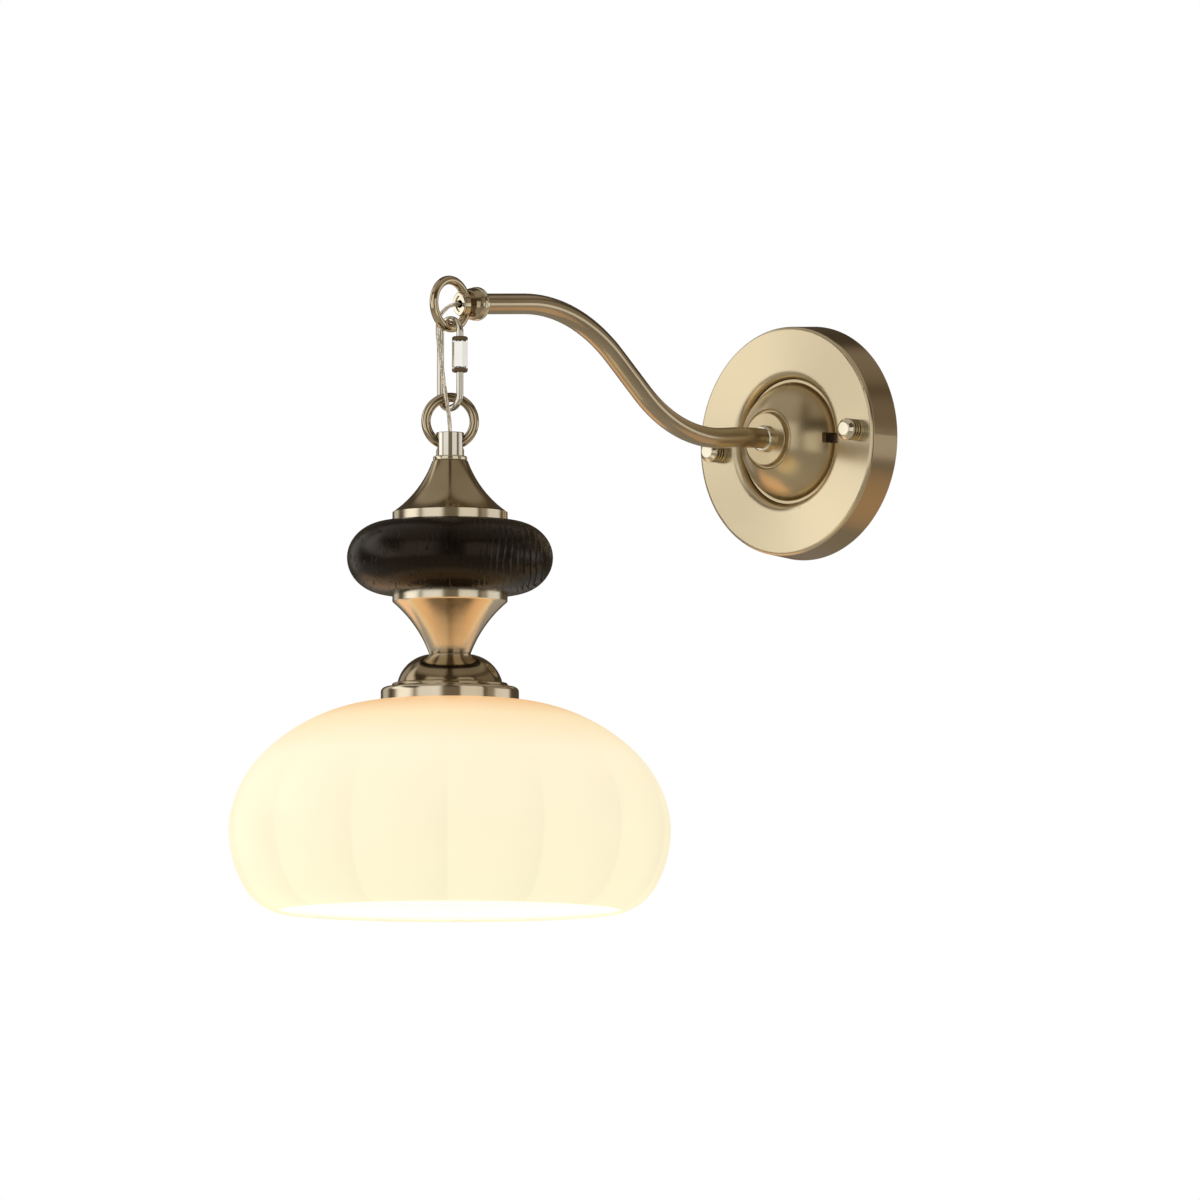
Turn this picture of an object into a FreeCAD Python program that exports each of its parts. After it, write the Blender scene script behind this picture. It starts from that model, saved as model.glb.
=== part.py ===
import FreeCAD, Part
import math
import os

# Pendant wall sconce. Millimetres. The wall is the plane y = 0, the room lies towards -Y and +Z is up.
# The origin is the centre of the wall plate on the wall.

V = FreeCAD.Vector

# Wall plate: a spun dish whose face rolls into a round recess with a ledge
plate_r = 60.0
plate_face_r = 58.6
plate_depth = 18.0
plate_wall = 1.2
plate_edge_round = 1.8
recess_r = 32.2
recess_roll = 4.4
ledge_round = 0.3
ledge_drop = 5.0
ledge_r = 26.5

# Ball-shaped dome that sits in the recess, with a flat boss for the arm
dome_seat_gap = 0.4
dome_flange_width = 1.3
dome_flange_thick = 1.2
dome_wall = 1.5
boss_r = 13.4
boss_front = 34.0
boss_height = 2.4
boss_groove = 2.2
boss_round = 0.4
dome_notch_width = 5.2
dome_notch_reach = 4.6

# Pressed bracket behind the plate, and its two studs
bracket_width = 24.0
bracket_depth = 4.2
bracket_wall = 1.6
bracket_hole_r = 10.0
wall_slot_spacing = 70.0
wall_slot_length = 10.0
wall_slot_width = 4.6
stud_circle_r = 46.5
bracket_end = 5.5
bracket_length = 2 * (stud_circle_r + bracket_end)
stud_tilt = 3.5
stud_slot_swing = 6.0
stud_r = 2.0
stud_head_r = 3.9
stud_head_height = 2.2
stud_end = 24.0
stud_clearance = 0.2
nut_flats = 7.0
nut_height = 3.0
nut_bevel = 0.5
cap_nut_r = 5.6
cap_nut_length = 8.4
cap_nut_groove = 0.5
cap_nut_grooves = 3
cap_nut_shoulder = 1.9
cap_nut_crown_r = 3.6
cap_nut_round = 1.0
cap_nut_foot_round = 0.3
cap_nut_hole_spare = 0.3
earth_screw_x = 22.0
earth_head_r = 3.6
earth_head_height = 2.0
earth_head_round = 0.8
earth_slot = 0.9

# Strap, washer and nut that clamp the dome to the ledge
strap_length = 62.0
strap_width = 14.0
strap_thick = 2.0
washer_r = 7.0
washer_thick = 0.8
clamp_nut_flats = 12.0
clamp_nut_height = 3.0
clamp_nut_bevel = 0.7
nipple_r = 4.1
nipple_bore_r = 2.9
nipple_tail = 0.6
fit = 0.05

# Arm: a bent tube in the plane x = 0
arm_r = 5.2
arm_bore_r = 4.15
arm_lead = 4.1
arm_dip = 7.0
arm_dip_radius = 220.0
arm_rise = 39.2
arm_lower_radius = 83.4
arm_middle = 27.5
arm_upper_radius = 95.8
arm_droop = 4.5
arm_tip = 39.5
base_collar_r = 6.8
base_collar_length = 3.0
base_collar_round = 1.2

# End fitting: bead collar, tapered barrel and eye ring with a wireway
eye_r = 12.0
eye_wire_r = 2.2
boss_tail = 14.6
boss_lip = 7.5
eye_boss_half_width = 4.6
eye_boss_half_height = 6.6
eye_boss_root_r = 5.4
barrel_back = 17.4
barrel_front = 12.6
barrel_back_r = 8.0
barrel_front_r = 6.6
barrel_bulge = 0.45
tube_stop = 15.5
bead_length = 4.0
bead_r = 8.5
ferrule_r = 3.0
ferrule_bore_r = 2.0
ferrule_lip_half_width = 4.4
ferrule_lip_half_height = 6.2
ferrule_mouth_half_width = 2.4
ferrule_mouth_half_height = 4.2
ferrule_mouth_depth = 0.7
ferrule_lip = 1.2
ferrule_edge_round = 0.4

# Hanging links
hang_gap = 0.2
link_wire_r = 1.75
link_half_width = 6.55
link_length = 44.4
link_nut_flats = 7.0
link_nut_length = 18.0
link_nut_fit = 0.07
link_stub = 5.7
link_gate = 5.5
link_nut_cover = 3.4
link_nut_bevel = 0.9
link_nut_groove = 0.45
link_nut_groove_in = 2.3
ring_r = 12.05
ring_wire_r = 2.375
ring_turn = 45.0
ring_lift = 1.15

# Pendant, from its neck down
neck_r = 7.0
neck_bore_r = 5.7
neck_height = 11.8
neck_eye_r = 4.0
neck_eye_margin = 0.9
neck_eye_gap = 0.4
neck_rim_round = 0.4
neck_bore_round = 0.2
neck_bore_taper = 1.5
neck_spigot_r = 6.0
neck_spigot = 12.0
stem_r = 4.9
stem_bore_r = 3.2
stem_drop = 12.4
neck_washer_r = 8.5
neck_washer = 2.5
neck_washer_round = 0.8
cone_top_r = 8.9
cone_waist_r = 14.9
cone_waist_share = 0.47
cone_foot_r = 27.8
cone_height = 25.0
cone_wall = 0.9
cone_rim_r = 28.7
rim_step = 0.6
upper_rim = 5.2
lower_rim = 4.3
wood_r = 51.3
wood_face_r = 30.9
wood_height = 36.2
wood_bore_r = 5.6
lower_cone_foot_r = 28.2
lower_cone_waist_r = 16.2
lower_cone_top_r = 10.2
lower_cone_height = 26.0
cap_neck_r = 10.8
cap_shoulder_r = 20.4
cap_shoulder_share = 0.3
cap_foot_r = 26.2
cap_height = 14.3
cap_lip_r = 28.9
cap_lip = 2.0
cap_lip_round = 0.9
gallery_r = 34.4
gallery_height = 6.7
gallery_wall = 1.2
gallery_round = 2.4

# Glass shade: its outside is tangent arcs up and down from the widest line. Each has its radius as
# a share of shade_r and its turn in degrees.
shade_r = 109.9
shade_wall = 3.0
shade_crown_arcs = [(0.3485, 11.8), (0.5423, 35.0), (0.8471, 39.2)]
shade_belly_arcs = [(0.5205, 30.0), (0.2457, 43.0)]
shade_rim_round = 1.2
shade_hole_gap = 0.7

# Lamp holder and lamp
holder_r = 19.6
holder_wall = 1.6
holder_cap_height = 9.0
holder_length = 41.0
holder_top_gap = 0.2
holder_cap_round = 2.0
holder_cap_roof = 3.6
shade_hole_r = holder_r + shade_hole_gap
shade_nut_r = 27.0
shade_nut_height = 4.5
shade_nut_fit = 0.15
shade_nut_bevel = 2.0
shade_nut_round = 0.6
core_gap = 0.4
core_height = 9.0
core_wireway = 3.0
screw_shell_r = 13.6
screw_shell_wall = 0.4
screw_shell_length = 22.0
contact_r = 3.0
contact_height = 1.6
lamp_gap = 0.1
lamp_cap_r = 13.0
lamp_cap_length = 25.0
lamp_cap_shoulder = 4.0
lamp_tip_r = 4.2
lamp_tip = 1.2
lamp_cap_round = 2.0
lamp_globe_r = 22.5
lamp_neck_r = 12.4
lamp_length = 68.0
lamp_throat = 2.8
lamp_throat_drop = 3.5
lamp_join_angle = 38.0

# Flex: a thin round two-core cable
cord_r = 1.0
bend_share = 0.45
flex_start = 0.5
cord_lead = 5.6
cord_front = 5.4
cord_clear = 0.3
cord_bore_gap = 0.5
cord_dip = 6.0
cord_end_rise = 1.0
drop_lead = 3.0
drop_settle = 12.0


def revolve(outline):
    """Turns a closed outline in the XZ plane about the Z axis."""
    return Part.Face(outline).revolve(V(0, 0, 0), V(0, 0, 1), 360)


def corner_path(points, radii):
    """A wire of straight runs whose corners are rounded by the given radii."""
    edges = []
    start = points[0]
    for before, corner, after, radius in zip(points, points[1:], points[2:], radii):
        into = (corner - before).normalize()
        away = (after - corner).normalize()
        half_turn = into.getAngle(away) / 2
        if radius <= 0 or half_turn < 1e-6:
            edges.append(Part.LineSegment(start, corner).toShape())
            start = corner
            continue
        trim = radius * math.tan(half_turn)
        first = corner - into * trim
        last = corner + away * trim
        inwards = (away - into).normalize()
        crown = corner + inwards * (radius / math.cos(half_turn) - radius)
        if (first - start).Length > 1e-6:
            edges.append(Part.LineSegment(start, first).toShape())
        edges.append(Part.Arc(first, crown, last).toShape())
        start = last
    if (points[-1] - start).Length > 1e-6:
        edges.append(Part.LineSegment(start, points[-1]).toShape())
    return Part.Wire(edges)


def outline(points, radii=None):
    """A closed outline in the XZ plane from (radius, height) corners, some of them rounded."""
    corners = [V(r, 0, z) for r, z in points]
    rounds = radii or [0] * len(corners)
    start = (corners[0] + corners[-1]) * 0.5
    ring = [start] + corners + [start]
    return corner_path(ring, rounds)


def cylinder(radius, bottom, top):
    return Part.makeCylinder(radius, top - bottom, V(0, 0, bottom))


def tube(outer, inner, bottom, top):
    return cylinder(outer, bottom, top).cut(cylinder(inner, bottom, top))


def hexagon_bar(flats, bottom, top, bevel):
    """A hexagonal bar with turned bevels on both ends."""
    corner_r = flats / math.sqrt(3)
    corners = [V(corner_r * math.cos(k * math.pi / 3), corner_r * math.sin(k * math.pi / 3), bottom)
               for k in range(7)]
    bar = Part.Face(Part.makePolygon(corners)).extrude(V(0, 0, top - bottom))
    inner_r = corner_r - bevel
    turned = revolve(outline([(0, bottom), (inner_r, bottom), (corner_r, bottom + bevel * 0.6),
                              (corner_r, top - bevel * 0.6), (inner_r, top), (0, top)]))
    return bar.common(turned)


def round_sweep(path, radius):
    """A round bar swept along a path of lines and tangent arcs."""
    start = path.OrderedEdges[0].valueAt(path.OrderedEdges[0].FirstParameter)
    heading = path.OrderedEdges[0].tangentAt(path.OrderedEdges[0].FirstParameter)
    section = Part.Wire(Part.makeCircle(radius, start, heading))
    return path.makePipeShell([section], True, False)


def hollow_sweep(path, outer, inner):
    return round_sweep(path, outer).cut(round_sweep(path, inner))


def on_wall(shape):
    """Places a piece drawn along +Z so that it stands out from the wall."""
    placed = shape.copy()
    placed.rotate(V(0, 0, 0), V(1, 0, 0), 90)
    return placed


def on_eye(shape):
    """Places a piece drawn on the eye ring's axis: +Z runs along the arm's tip, away from the wall."""
    placed = shape.copy()
    placed.rotate(V(0, 0, 0), V(1, 0, 0), 90 + arm_droop)
    placed.translate(eye_centre)
    return placed


def on_pendant(shape):
    placed = shape.copy()
    placed.translate(V(0, eye_centre.y, 0))
    return placed


def arm_corners():
    """Corners of the arm's centreline, where the straight lines beside each bend would meet."""
    slopes = [0, -arm_dip, arm_rise, -arm_droop]
    radii = [arm_dip_radius, arm_lower_radius, arm_upper_radius]
    trims = [radius * math.tan(math.radians(abs(b - a)) / 2)
             for radius, a, b in zip(radii, slopes, slopes[1:])]
    runs = [arm_lead + trims[0], trims[0] + trims[1], trims[1] + arm_middle + trims[2],
            trims[2] + arm_tip]
    corners = [V(0, -boss_front, 0)]
    for slope, run in zip(slopes, runs):
        angle = math.radians(slope)
        corners.append(corners[-1] + V(0, -math.cos(angle), math.sin(angle)) * run)
    return corners, radii


def shade_crown_height():
    """Rise of the crown arcs, which start upright at the widest line."""
    rise = 0
    heading = 90
    for share, turn in shade_crown_arcs:
        rise += share * shade_r * (math.cos(math.radians(heading)) - math.cos(math.radians(heading + turn)))
        heading += turn
    return rise


arm_points, arm_radii = arm_corners()
tip_heading = V(0, -math.cos(math.radians(arm_droop)), -math.sin(math.radians(arm_droop)))
eye_centre = arm_points[-1] + tip_heading * tube_stop

# Heights down the hanging chain, each from the piece above it
link_top = eye_centre.z - eye_r + eye_wire_r + link_wire_r + hang_gap
link_bottom = link_top - link_length
ring_top = link_bottom + link_wire_r + ring_wire_r + hang_gap + ring_lift
ring_centre = ring_top - ring_r
wall_mid_r = (neck_r + neck_bore_r) / 2
pendant_pivot = ring_centre - math.sqrt(ring_r ** 2 - wall_mid_r ** 2)
wire_slope = math.asin(neck_r / ring_r)
outer_wire_top = ring_centre - ring_r * math.cos(wire_slope) + ring_wire_r / math.cos(wire_slope)
neck_eye_z = outer_wire_top + neck_eye_gap - neck_eye_r
neck_top = neck_eye_z + neck_eye_r + neck_eye_margin
neck_foot = neck_top - neck_height
stem_top = neck_top - stem_drop
cone_top = neck_foot - neck_washer
upper_foot = cone_top - cone_height
wood_top = upper_foot - upper_rim
wood_bottom = wood_top - wood_height
lower_foot = wood_bottom - lower_rim
cap_top = lower_foot - lower_cone_height
cap_foot = cap_top - cap_height
gallery_top = cap_foot - cap_lip
shade_seat = gallery_top - gallery_height
shade_equator = shade_seat - shade_crown_height()
holder_top = gallery_top - gallery_wall - holder_top_gap
core_top = holder_top - holder_cap_roof - core_gap
shell_top = core_top - core_height
contact_bottom = shell_top - contact_height
lamp_top = contact_bottom - lamp_gap

ring_axis = V(math.cos(math.radians(ring_turn)), math.sin(math.radians(ring_turn)), 0)
ring_front = V(math.sin(math.radians(ring_turn)), -math.cos(math.radians(ring_turn)), 0)


def make_plate():
    face_height = plate_depth
    ledge_height = plate_depth - ledge_drop
    skin = corner_path(
        [V(plate_r, 0, 0), V(plate_face_r, 0, face_height), V(recess_r, 0, face_height),
         V(recess_r, 0, ledge_height), V(ledge_r, 0, ledge_height)],
        [plate_edge_round, recess_roll, ledge_round])
    sheet = skin.makeOffset2D(plate_wall, 0, True, True)
    if sheet.BoundBox.ZMax > face_height + plate_wall / 2:
        sheet = skin.makeOffset2D(-plate_wall, 0, True, True)
    dish = sheet.revolve(V(0, 0, 0), V(0, 0, 1), 360)
    for stud in stud_places():
        dish = dish.cut(Part.makeCylinder(stud_r + stud_clearance, plate_depth * 2, stud))
    return on_wall(dish)


def stud_places():
    """Stud centres on the wall plane, drawn with the wall's X and Z as X and Y."""
    angles = [math.radians(stud_tilt), math.radians(180 + stud_tilt)]
    return [V(stud_circle_r * math.cos(a), stud_circle_r * math.sin(a), 0) for a in angles]


def slot_cutter(centre, length, width):
    straight = length - width
    box = Part.makeBox(straight, width, bracket_depth, centre - V(straight / 2, width / 2, 0))
    ends = [Part.makeCylinder(width / 2, bracket_depth, centre + V(side * straight / 2, 0, 0))
            for side in (-1, 1)]
    return box.fuse(ends)


def arc_slot_cutter(middle_angle):
    half_width = stud_r + stud_clearance
    low = middle_angle - stud_slot_swing
    band = Part.makeCylinder(stud_circle_r + half_width, bracket_depth, V(0, 0, 0), V(0, 0, 1),
                             2 * stud_slot_swing)
    core = Part.makeCylinder(stud_circle_r - half_width, bracket_depth)
    band.rotate(V(0, 0, 0), V(0, 0, 1), low)
    ends = []
    for angle in (low, low + 2 * stud_slot_swing):
        a = math.radians(angle)
        place = V(stud_circle_r * math.cos(a), stud_circle_r * math.sin(a), 0)
        ends.append(Part.makeCylinder(half_width, bracket_depth, place))
    return band.cut(core).fuse(ends)


def make_bracket():
    corner = V(-bracket_length / 2, -bracket_width / 2, 0)
    plate = Part.makeBox(bracket_length, bracket_width, bracket_depth, corner)
    uprights = [e for e in plate.Edges if abs(e.tangentAt(e.FirstParameter).z) > 0.9]
    plate = plate.makeFillet(bracket_width / 4, uprights)
    inside = Part.makeBox(bracket_length - 2 * bracket_wall, bracket_width - 2 * bracket_wall,
                          bracket_depth - bracket_wall, corner + V(bracket_wall, bracket_wall, 0))
    uprights = [e for e in inside.Edges if abs(e.tangentAt(e.FirstParameter).z) > 0.9]
    bar = plate.cut(inside.makeFillet(bracket_width / 4 - bracket_wall, uprights))
    bar = bar.cut(Part.makeCylinder(bracket_hole_r, bracket_depth))
    for side in (-1, 1):
        bar = bar.cut(slot_cutter(V(side * wall_slot_spacing / 2, 0, 0), wall_slot_length, wall_slot_width))
    for middle in (0, 180):
        bar = bar.cut(arc_slot_cutter(middle))
    bar = bar.cut(Part.makeCylinder(stud_r, bracket_depth, V(-earth_screw_x, 0, 0)))
    return on_wall(bar)


def make_studs():
    web_back = bracket_depth - bracket_wall
    studs = []
    for place in stud_places():
        shank = cylinder(stud_r - fit, web_back, stud_end)
        head = cylinder(stud_head_r, web_back - stud_head_height, web_back)
        stud = shank.fuse(head).removeSplitter()
        stud.translate(place)
        studs.append(stud)
    return on_wall(Part.makeCompound(studs))


def make_stud_nuts():
    nuts = []
    for place in stud_places():
        nut = hexagon_bar(nut_flats, bracket_depth, bracket_depth + nut_height, nut_bevel)
        nut = nut.cut(cylinder(stud_r, bracket_depth, bracket_depth + nut_height))
        nut.translate(place)
        nuts.append(nut)
    return on_wall(Part.makeCompound(nuts))


def make_cap_nuts():
    """Turned thumb nuts with a domed end and rings of grooves."""
    base = plate_depth
    crown = base + cap_nut_length
    shoulder = crown - cap_nut_shoulder
    pitch = (shoulder - base) / (cap_nut_grooves + 0.5)
    body = revolve(outline([(0, base), (cap_nut_r, base), (cap_nut_r, shoulder),
                            (cap_nut_crown_r, crown), (0, crown)],
                           [0, cap_nut_foot_round, cap_nut_round, cap_nut_round, 0]))
    for k in range(cap_nut_grooves):
        height = base + pitch * (k + 0.75)
        groove = Part.makeTorus(cap_nut_r, cap_nut_groove, V(0, 0, height))
        body = body.cut(groove)
    body = body.cut(cylinder(stud_r, base, stud_end + cap_nut_hole_spare))
    nuts = []
    for place in stud_places():
        nut = body.copy()
        nut.translate(place)
        nuts.append(nut)
    return on_wall(Part.makeCompound(nuts))


def make_earth_screw():
    screw = cylinder(stud_r - fit, bracket_depth - bracket_wall, bracket_depth)
    head = revolve(outline([(0, bracket_depth), (earth_head_r, bracket_depth),
                            (earth_head_r, bracket_depth + earth_head_height),
                            (0, bracket_depth + earth_head_height)], [0, 0, earth_head_round, 0]))
    driver = Part.makeBox(2 * earth_head_r, earth_slot, earth_slot,
                          V(-earth_head_r, -earth_slot / 2, bracket_depth + earth_head_height - earth_slot))
    screw = screw.fuse(head).removeSplitter().cut(driver)
    screw.translate(V(-earth_screw_x, 0, 0))
    return on_wall(screw)


def make_dome():
    """A shell of a ball: its flange lies on the ledge and its crown ends in a flat boss."""
    seat = plate_depth - ledge_drop
    flange_r = recess_r - dome_seat_gap
    foot_r = flange_r - dome_flange_width
    foot = seat + dome_flange_thick
    groove_r = boss_r + boss_groove
    groove_height = boss_front - boss_height
    centre = (groove_r ** 2 + groove_height ** 2 - foot_r ** 2 - foot ** 2) / (2 * (groove_height - foot))
    ball_r = math.hypot(foot_r, foot - centre)
    turn = (math.atan2(foot - centre, foot_r) + math.atan2(groove_height - centre, groove_r)) / 2
    ball = Part.makeSphere(ball_r, V(0, 0, centre))
    ball = ball.common(cylinder(flange_r, seat, groove_height))
    flange = cylinder(flange_r, seat, foot)
    boss = revolve(outline([(0, groove_height - boss_height), (boss_r, groove_height - boss_height),
                            (boss_r, boss_front), (0, boss_front)], [0, 0, boss_round, 0]))
    moat = Part.makeTorus(boss_r + boss_groove / 2, boss_groove / 2, V(0, 0, groove_height))
    dome = ball.fuse([flange, boss]).cut(moat.cut(cylinder(boss_r, 0, boss_front)))
    hollow = Part.makeSphere(ball_r - dome_wall, V(0, 0, centre))
    hollow = hollow.common(cylinder(flange_r, 0, groove_height - dome_wall))
    dome = dome.cut(hollow)
    notch = Part.makeBox(dome_notch_reach * 2, dome_notch_width, boss_front,
                         V(flange_r - dome_notch_reach, -dome_notch_width / 2, 0))
    dome = dome.cut(notch)
    dome = dome.cut(cylinder(nipple_r + fit, 0, boss_front))
    return on_wall(dome.removeSplitter())


def strap_back():
    """Height of the strap's rear face off the wall."""
    return plate_depth - ledge_drop - plate_wall - strap_thick


def make_strap():
    back = strap_back()
    bar = Part.makeBox(strap_width, strap_length, strap_thick, V(-strap_width / 2, -strap_length / 2, back))
    round_ends = Part.makeCylinder(strap_length / 2, strap_thick, V(0, 0, back))
    return on_wall(bar.common(round_ends).cut(cylinder(nipple_r + fit, back, back + strap_thick)))


def make_washer():
    back = strap_back()
    return on_wall(tube(washer_r, nipple_r + fit, back - washer_thick, back))


def make_clamp_nut():
    front = strap_back() - washer_thick
    nut = hexagon_bar(clamp_nut_flats, front - clamp_nut_height, front, clamp_nut_bevel)
    return on_wall(nut.cut(cylinder(nipple_r, 0, plate_depth)))


def nipple_back():
    return strap_back() - washer_thick - clamp_nut_height - nipple_tail


def make_nipple():
    """Hollow threaded rod brazed into the arm's root."""
    return on_wall(tube(nipple_r, nipple_bore_r, nipple_back(), boss_front + arm_lead))


def make_base_collar():
    ring = revolve(outline([(arm_r + fit, boss_front), (base_collar_r, boss_front),
                            (base_collar_r, boss_front + base_collar_length),
                            (arm_r + fit, boss_front + base_collar_length)],
                           [0, 0, base_collar_round, 0]))
    return on_wall(ring)


def make_arm():
    return hollow_sweep(corner_path(arm_points, arm_radii), arm_r, arm_bore_r)


def make_bead_collar():
    low = -barrel_back - bead_length
    ring = revolve(outline([(arm_r + fit, low), (bead_r, low), (bead_r, -barrel_back),
                            (arm_r + fit, -barrel_back)], [0, bead_length * 0.45, bead_length * 0.45, 0]))
    return on_eye(ring)


def make_barrel(eye):
    """Tapered end cap: it takes the tube's end at the back and is saddle-cut to the ring in front."""
    crown = V((barrel_front_r + barrel_back_r) / 2 + barrel_bulge, 0, -(barrel_back + barrel_front) / 2)
    side = Part.Arc(V(barrel_back_r, 0, -barrel_back), crown, V(barrel_front_r, 0, -barrel_front)).toShape()
    rest = Part.makePolygon([V(barrel_front_r, 0, -barrel_front), V(0, 0, -barrel_front),
                             V(0, 0, -barrel_back), V(barrel_back_r, 0, -barrel_back)])
    body = revolve(Part.Wire([side] + rest.Edges))
    body = body.cut(cylinder(arm_r + fit, -barrel_back, -tube_stop))
    body = body.cut(cylinder(ferrule_r, -barrel_back, 0))
    return on_eye(body).cut(eye)


def lens_bar(half_width, half_height, bottom, top):
    """A bar of pointed oval section: two arcs that meet above and below the axis."""
    left, right = V(-half_width, 0, bottom), V(half_width, 0, bottom)
    low, high = V(0, -half_height, bottom), V(0, half_height, bottom)
    section = Part.Wire([Part.Arc(low, right, high).toShape(), Part.Arc(high, left, low).toShape()])
    return Part.Face(section).extrude(V(0, 0, top - bottom))


def make_eye():
    """Eye ring in the arm's own plane, with a bored boss of pointed oval section on its wall side."""
    ring = Part.makeTorus(eye_r, eye_wire_r, eye_centre, V(1, 0, 0))
    boss = on_eye(lens_bar(eye_boss_half_width, eye_boss_half_height, -boss_tail, -boss_lip))
    inside_barrel = on_eye(cylinder(eye_boss_root_r, -boss_tail, -boss_lip))
    side = V(eye_boss_half_width, 0, 0)
    disc = Part.makeCylinder(eye_r, 2 * eye_boss_half_width, eye_centre - side, V(1, 0, 0))
    bore = on_eye(cylinder(ferrule_r, -boss_tail, 0))
    return ring.fuse(boss.common(disc.fuse(inside_barrel))).removeSplitter().cut(bore)


def make_ferrule():
    """Bush with a flange of pointed oval shape that keeps the flex off the ring's edge."""
    bush = tube(ferrule_r, ferrule_bore_r, -boss_tail, -boss_lip)
    flange = lens_bar(ferrule_lip_half_width, ferrule_lip_half_height, -boss_lip, -boss_lip + ferrule_lip)
    front = [e for e in flange.Edges if e.BoundBox.ZMin > -boss_lip + ferrule_lip / 2]
    flange = flange.makeChamfer(ferrule_edge_round, front)
    mouth = lens_bar(ferrule_mouth_half_width, ferrule_mouth_half_height,
                     -boss_lip + ferrule_lip - ferrule_mouth_depth, -boss_lip + ferrule_lip)
    flange = flange.cut(mouth).cut(cylinder(ferrule_bore_r, -boss_lip, 0))
    return on_eye(bush.fuse(flange).removeSplitter())


def feed_corners():
    """Centreline of the flex from the wall to the wireway's mouth, inside the arm."""
    mouth = eye_centre - tip_heading * (boss_lip - ferrule_lip)
    return [V(0, -flex_start, 0)] + arm_points[1:-1] + [mouth], arm_radii


def make_feed_flex():
    corners, radii = feed_corners()
    return round_sweep(corner_path(corners, radii), cord_r)


def oval_path(half_width, top, bottom, x_centre=0):
    """Closed oval in the XZ plane, started at the foot of its right leg."""
    upper = top - half_width
    lower = bottom + half_width
    left, right = x_centre - half_width, x_centre + half_width
    return {"up_arc": Part.Arc(V(right, 0, upper), V(x_centre, 0, top), V(left, 0, upper)).toShape(),
            "left": Part.LineSegment(V(left, 0, upper), V(left, 0, lower)).toShape(),
            "low_arc": Part.Arc(V(left, 0, lower), V(x_centre, 0, bottom), V(right, 0, lower)).toShape()}


def link_gate_top():
    return link_top - link_half_width - link_stub


def make_link():
    """Oval of wire, open between its two threaded ends on the right leg."""
    sides = oval_path(link_half_width, link_top, link_bottom)
    gate_top = link_gate_top()
    leg = V(link_half_width, 0, 0)
    stub = Part.LineSegment(leg + V(0, 0, gate_top), leg + V(0, 0, link_top - link_half_width))
    post = Part.LineSegment(leg + V(0, 0, link_bottom + link_half_width), leg + V(0, 0, gate_top - link_gate))
    path = Part.Wire([stub.toShape(), sides["up_arc"], sides["left"], sides["low_arc"], post.toShape()])
    return on_pendant(round_sweep(path, link_wire_r))


def make_link_nut():
    top = link_gate_top() + link_nut_cover
    nut = hexagon_bar(link_nut_flats, top - link_nut_length, top, link_nut_bevel)
    nut = nut.cut(cylinder(link_wire_r + link_nut_fit, top - link_nut_length, top))
    for height in (top - link_nut_groove_in, top - link_nut_length + link_nut_groove_in):
        nut = nut.cut(Part.makeTorus(link_nut_flats / 2, link_nut_groove, V(0, 0, height)))
    nut.rotate(V(0, 0, 0), V(0, 0, 1), 30)
    nut.translate(V(link_half_width, 0, 0))
    return on_pendant(nut)


def make_ring():
    ring = Part.makeTorus(ring_r, ring_wire_r, V(0, 0, ring_centre), ring_front)
    return on_pendant(ring)


def make_neck():
    """Turned neck: a hollow top with a cross hole for the ring, and a tapped spigot below."""
    foot = neck_foot - neck_spigot
    body = revolve(outline([(stem_r + fit, foot), (neck_spigot_r, foot), (neck_spigot_r, neck_foot),
                            (neck_r, neck_foot), (neck_r, neck_top), (neck_bore_r, neck_top),
                            (neck_bore_r, stem_top + neck_bore_taper), (stem_r + fit, stem_top)],
                           [0, 0, 0, 0, neck_rim_round, neck_bore_round, 0, 0]))
    eye = Part.makeCylinder(neck_eye_r, 4 * neck_r, V(0, 0, neck_eye_z) - ring_axis * 2 * neck_r, ring_axis)
    return on_pendant(body.cut(eye))


def make_neck_washer():
    return on_pendant(revolve(outline(
        [(neck_spigot_r + fit, cone_top), (neck_washer_r, cone_top), (neck_washer_r, neck_foot),
         (neck_spigot_r + fit, neck_foot)], [0, neck_washer_round, neck_washer_round, 0])))


def spun(skin, wall):
    """A spun shell: the outside line, thickened inwards and turned about the axis."""
    return skin.makeOffset2D(-wall, 0, True, True).revolve(V(0, 0, 0), V(0, 0, 1), 360)


def make_upper_cone():
    """Trumpet-shaped cover that flares into an upright rim on the wood."""
    waist = V(cone_waist_r, 0, cone_top - cone_height * cone_waist_share)
    flare = Part.Arc(V(cone_top_r, 0, cone_top), waist, V(cone_foot_r, 0, upper_foot)).toShape()
    rim = Part.makePolygon([V(cone_foot_r, 0, upper_foot), V(cone_rim_r, 0, upper_foot - rim_step),
                            V(cone_rim_r, 0, wood_top)])
    top = Part.makeLine(V(neck_spigot_r + fit + cone_wall, 0, cone_top), V(cone_top_r, 0, cone_top))
    shell = spun(Part.Wire([top, flare] + rim.Edges), cone_wall)
    return on_pendant(shell.cut(cylinder(neck_spigot_r + fit, neck_foot - neck_height, neck_top)))


def make_wood():
    """Turned wooden bead: flat faces where the metal sits, and an elliptical side."""
    middle = (wood_top + wood_bottom) / 2
    side = Part.Ellipse(V(0, 0, 0), wood_r - wood_face_r, wood_height / 2)
    arc = Part.ArcOfEllipse(side, -math.pi / 2, math.pi / 2).toShape()
    arc.rotate(V(0, 0, 0), V(1, 0, 0), 90)
    arc.translate(V(wood_face_r, 0, middle))
    rest = Part.makePolygon([V(wood_face_r, 0, wood_top), V(wood_bore_r, 0, wood_top),
                             V(wood_bore_r, 0, wood_bottom), V(wood_face_r, 0, wood_bottom)])
    return on_pendant(revolve(Part.Wire([arc] + rest.Edges)))


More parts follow.
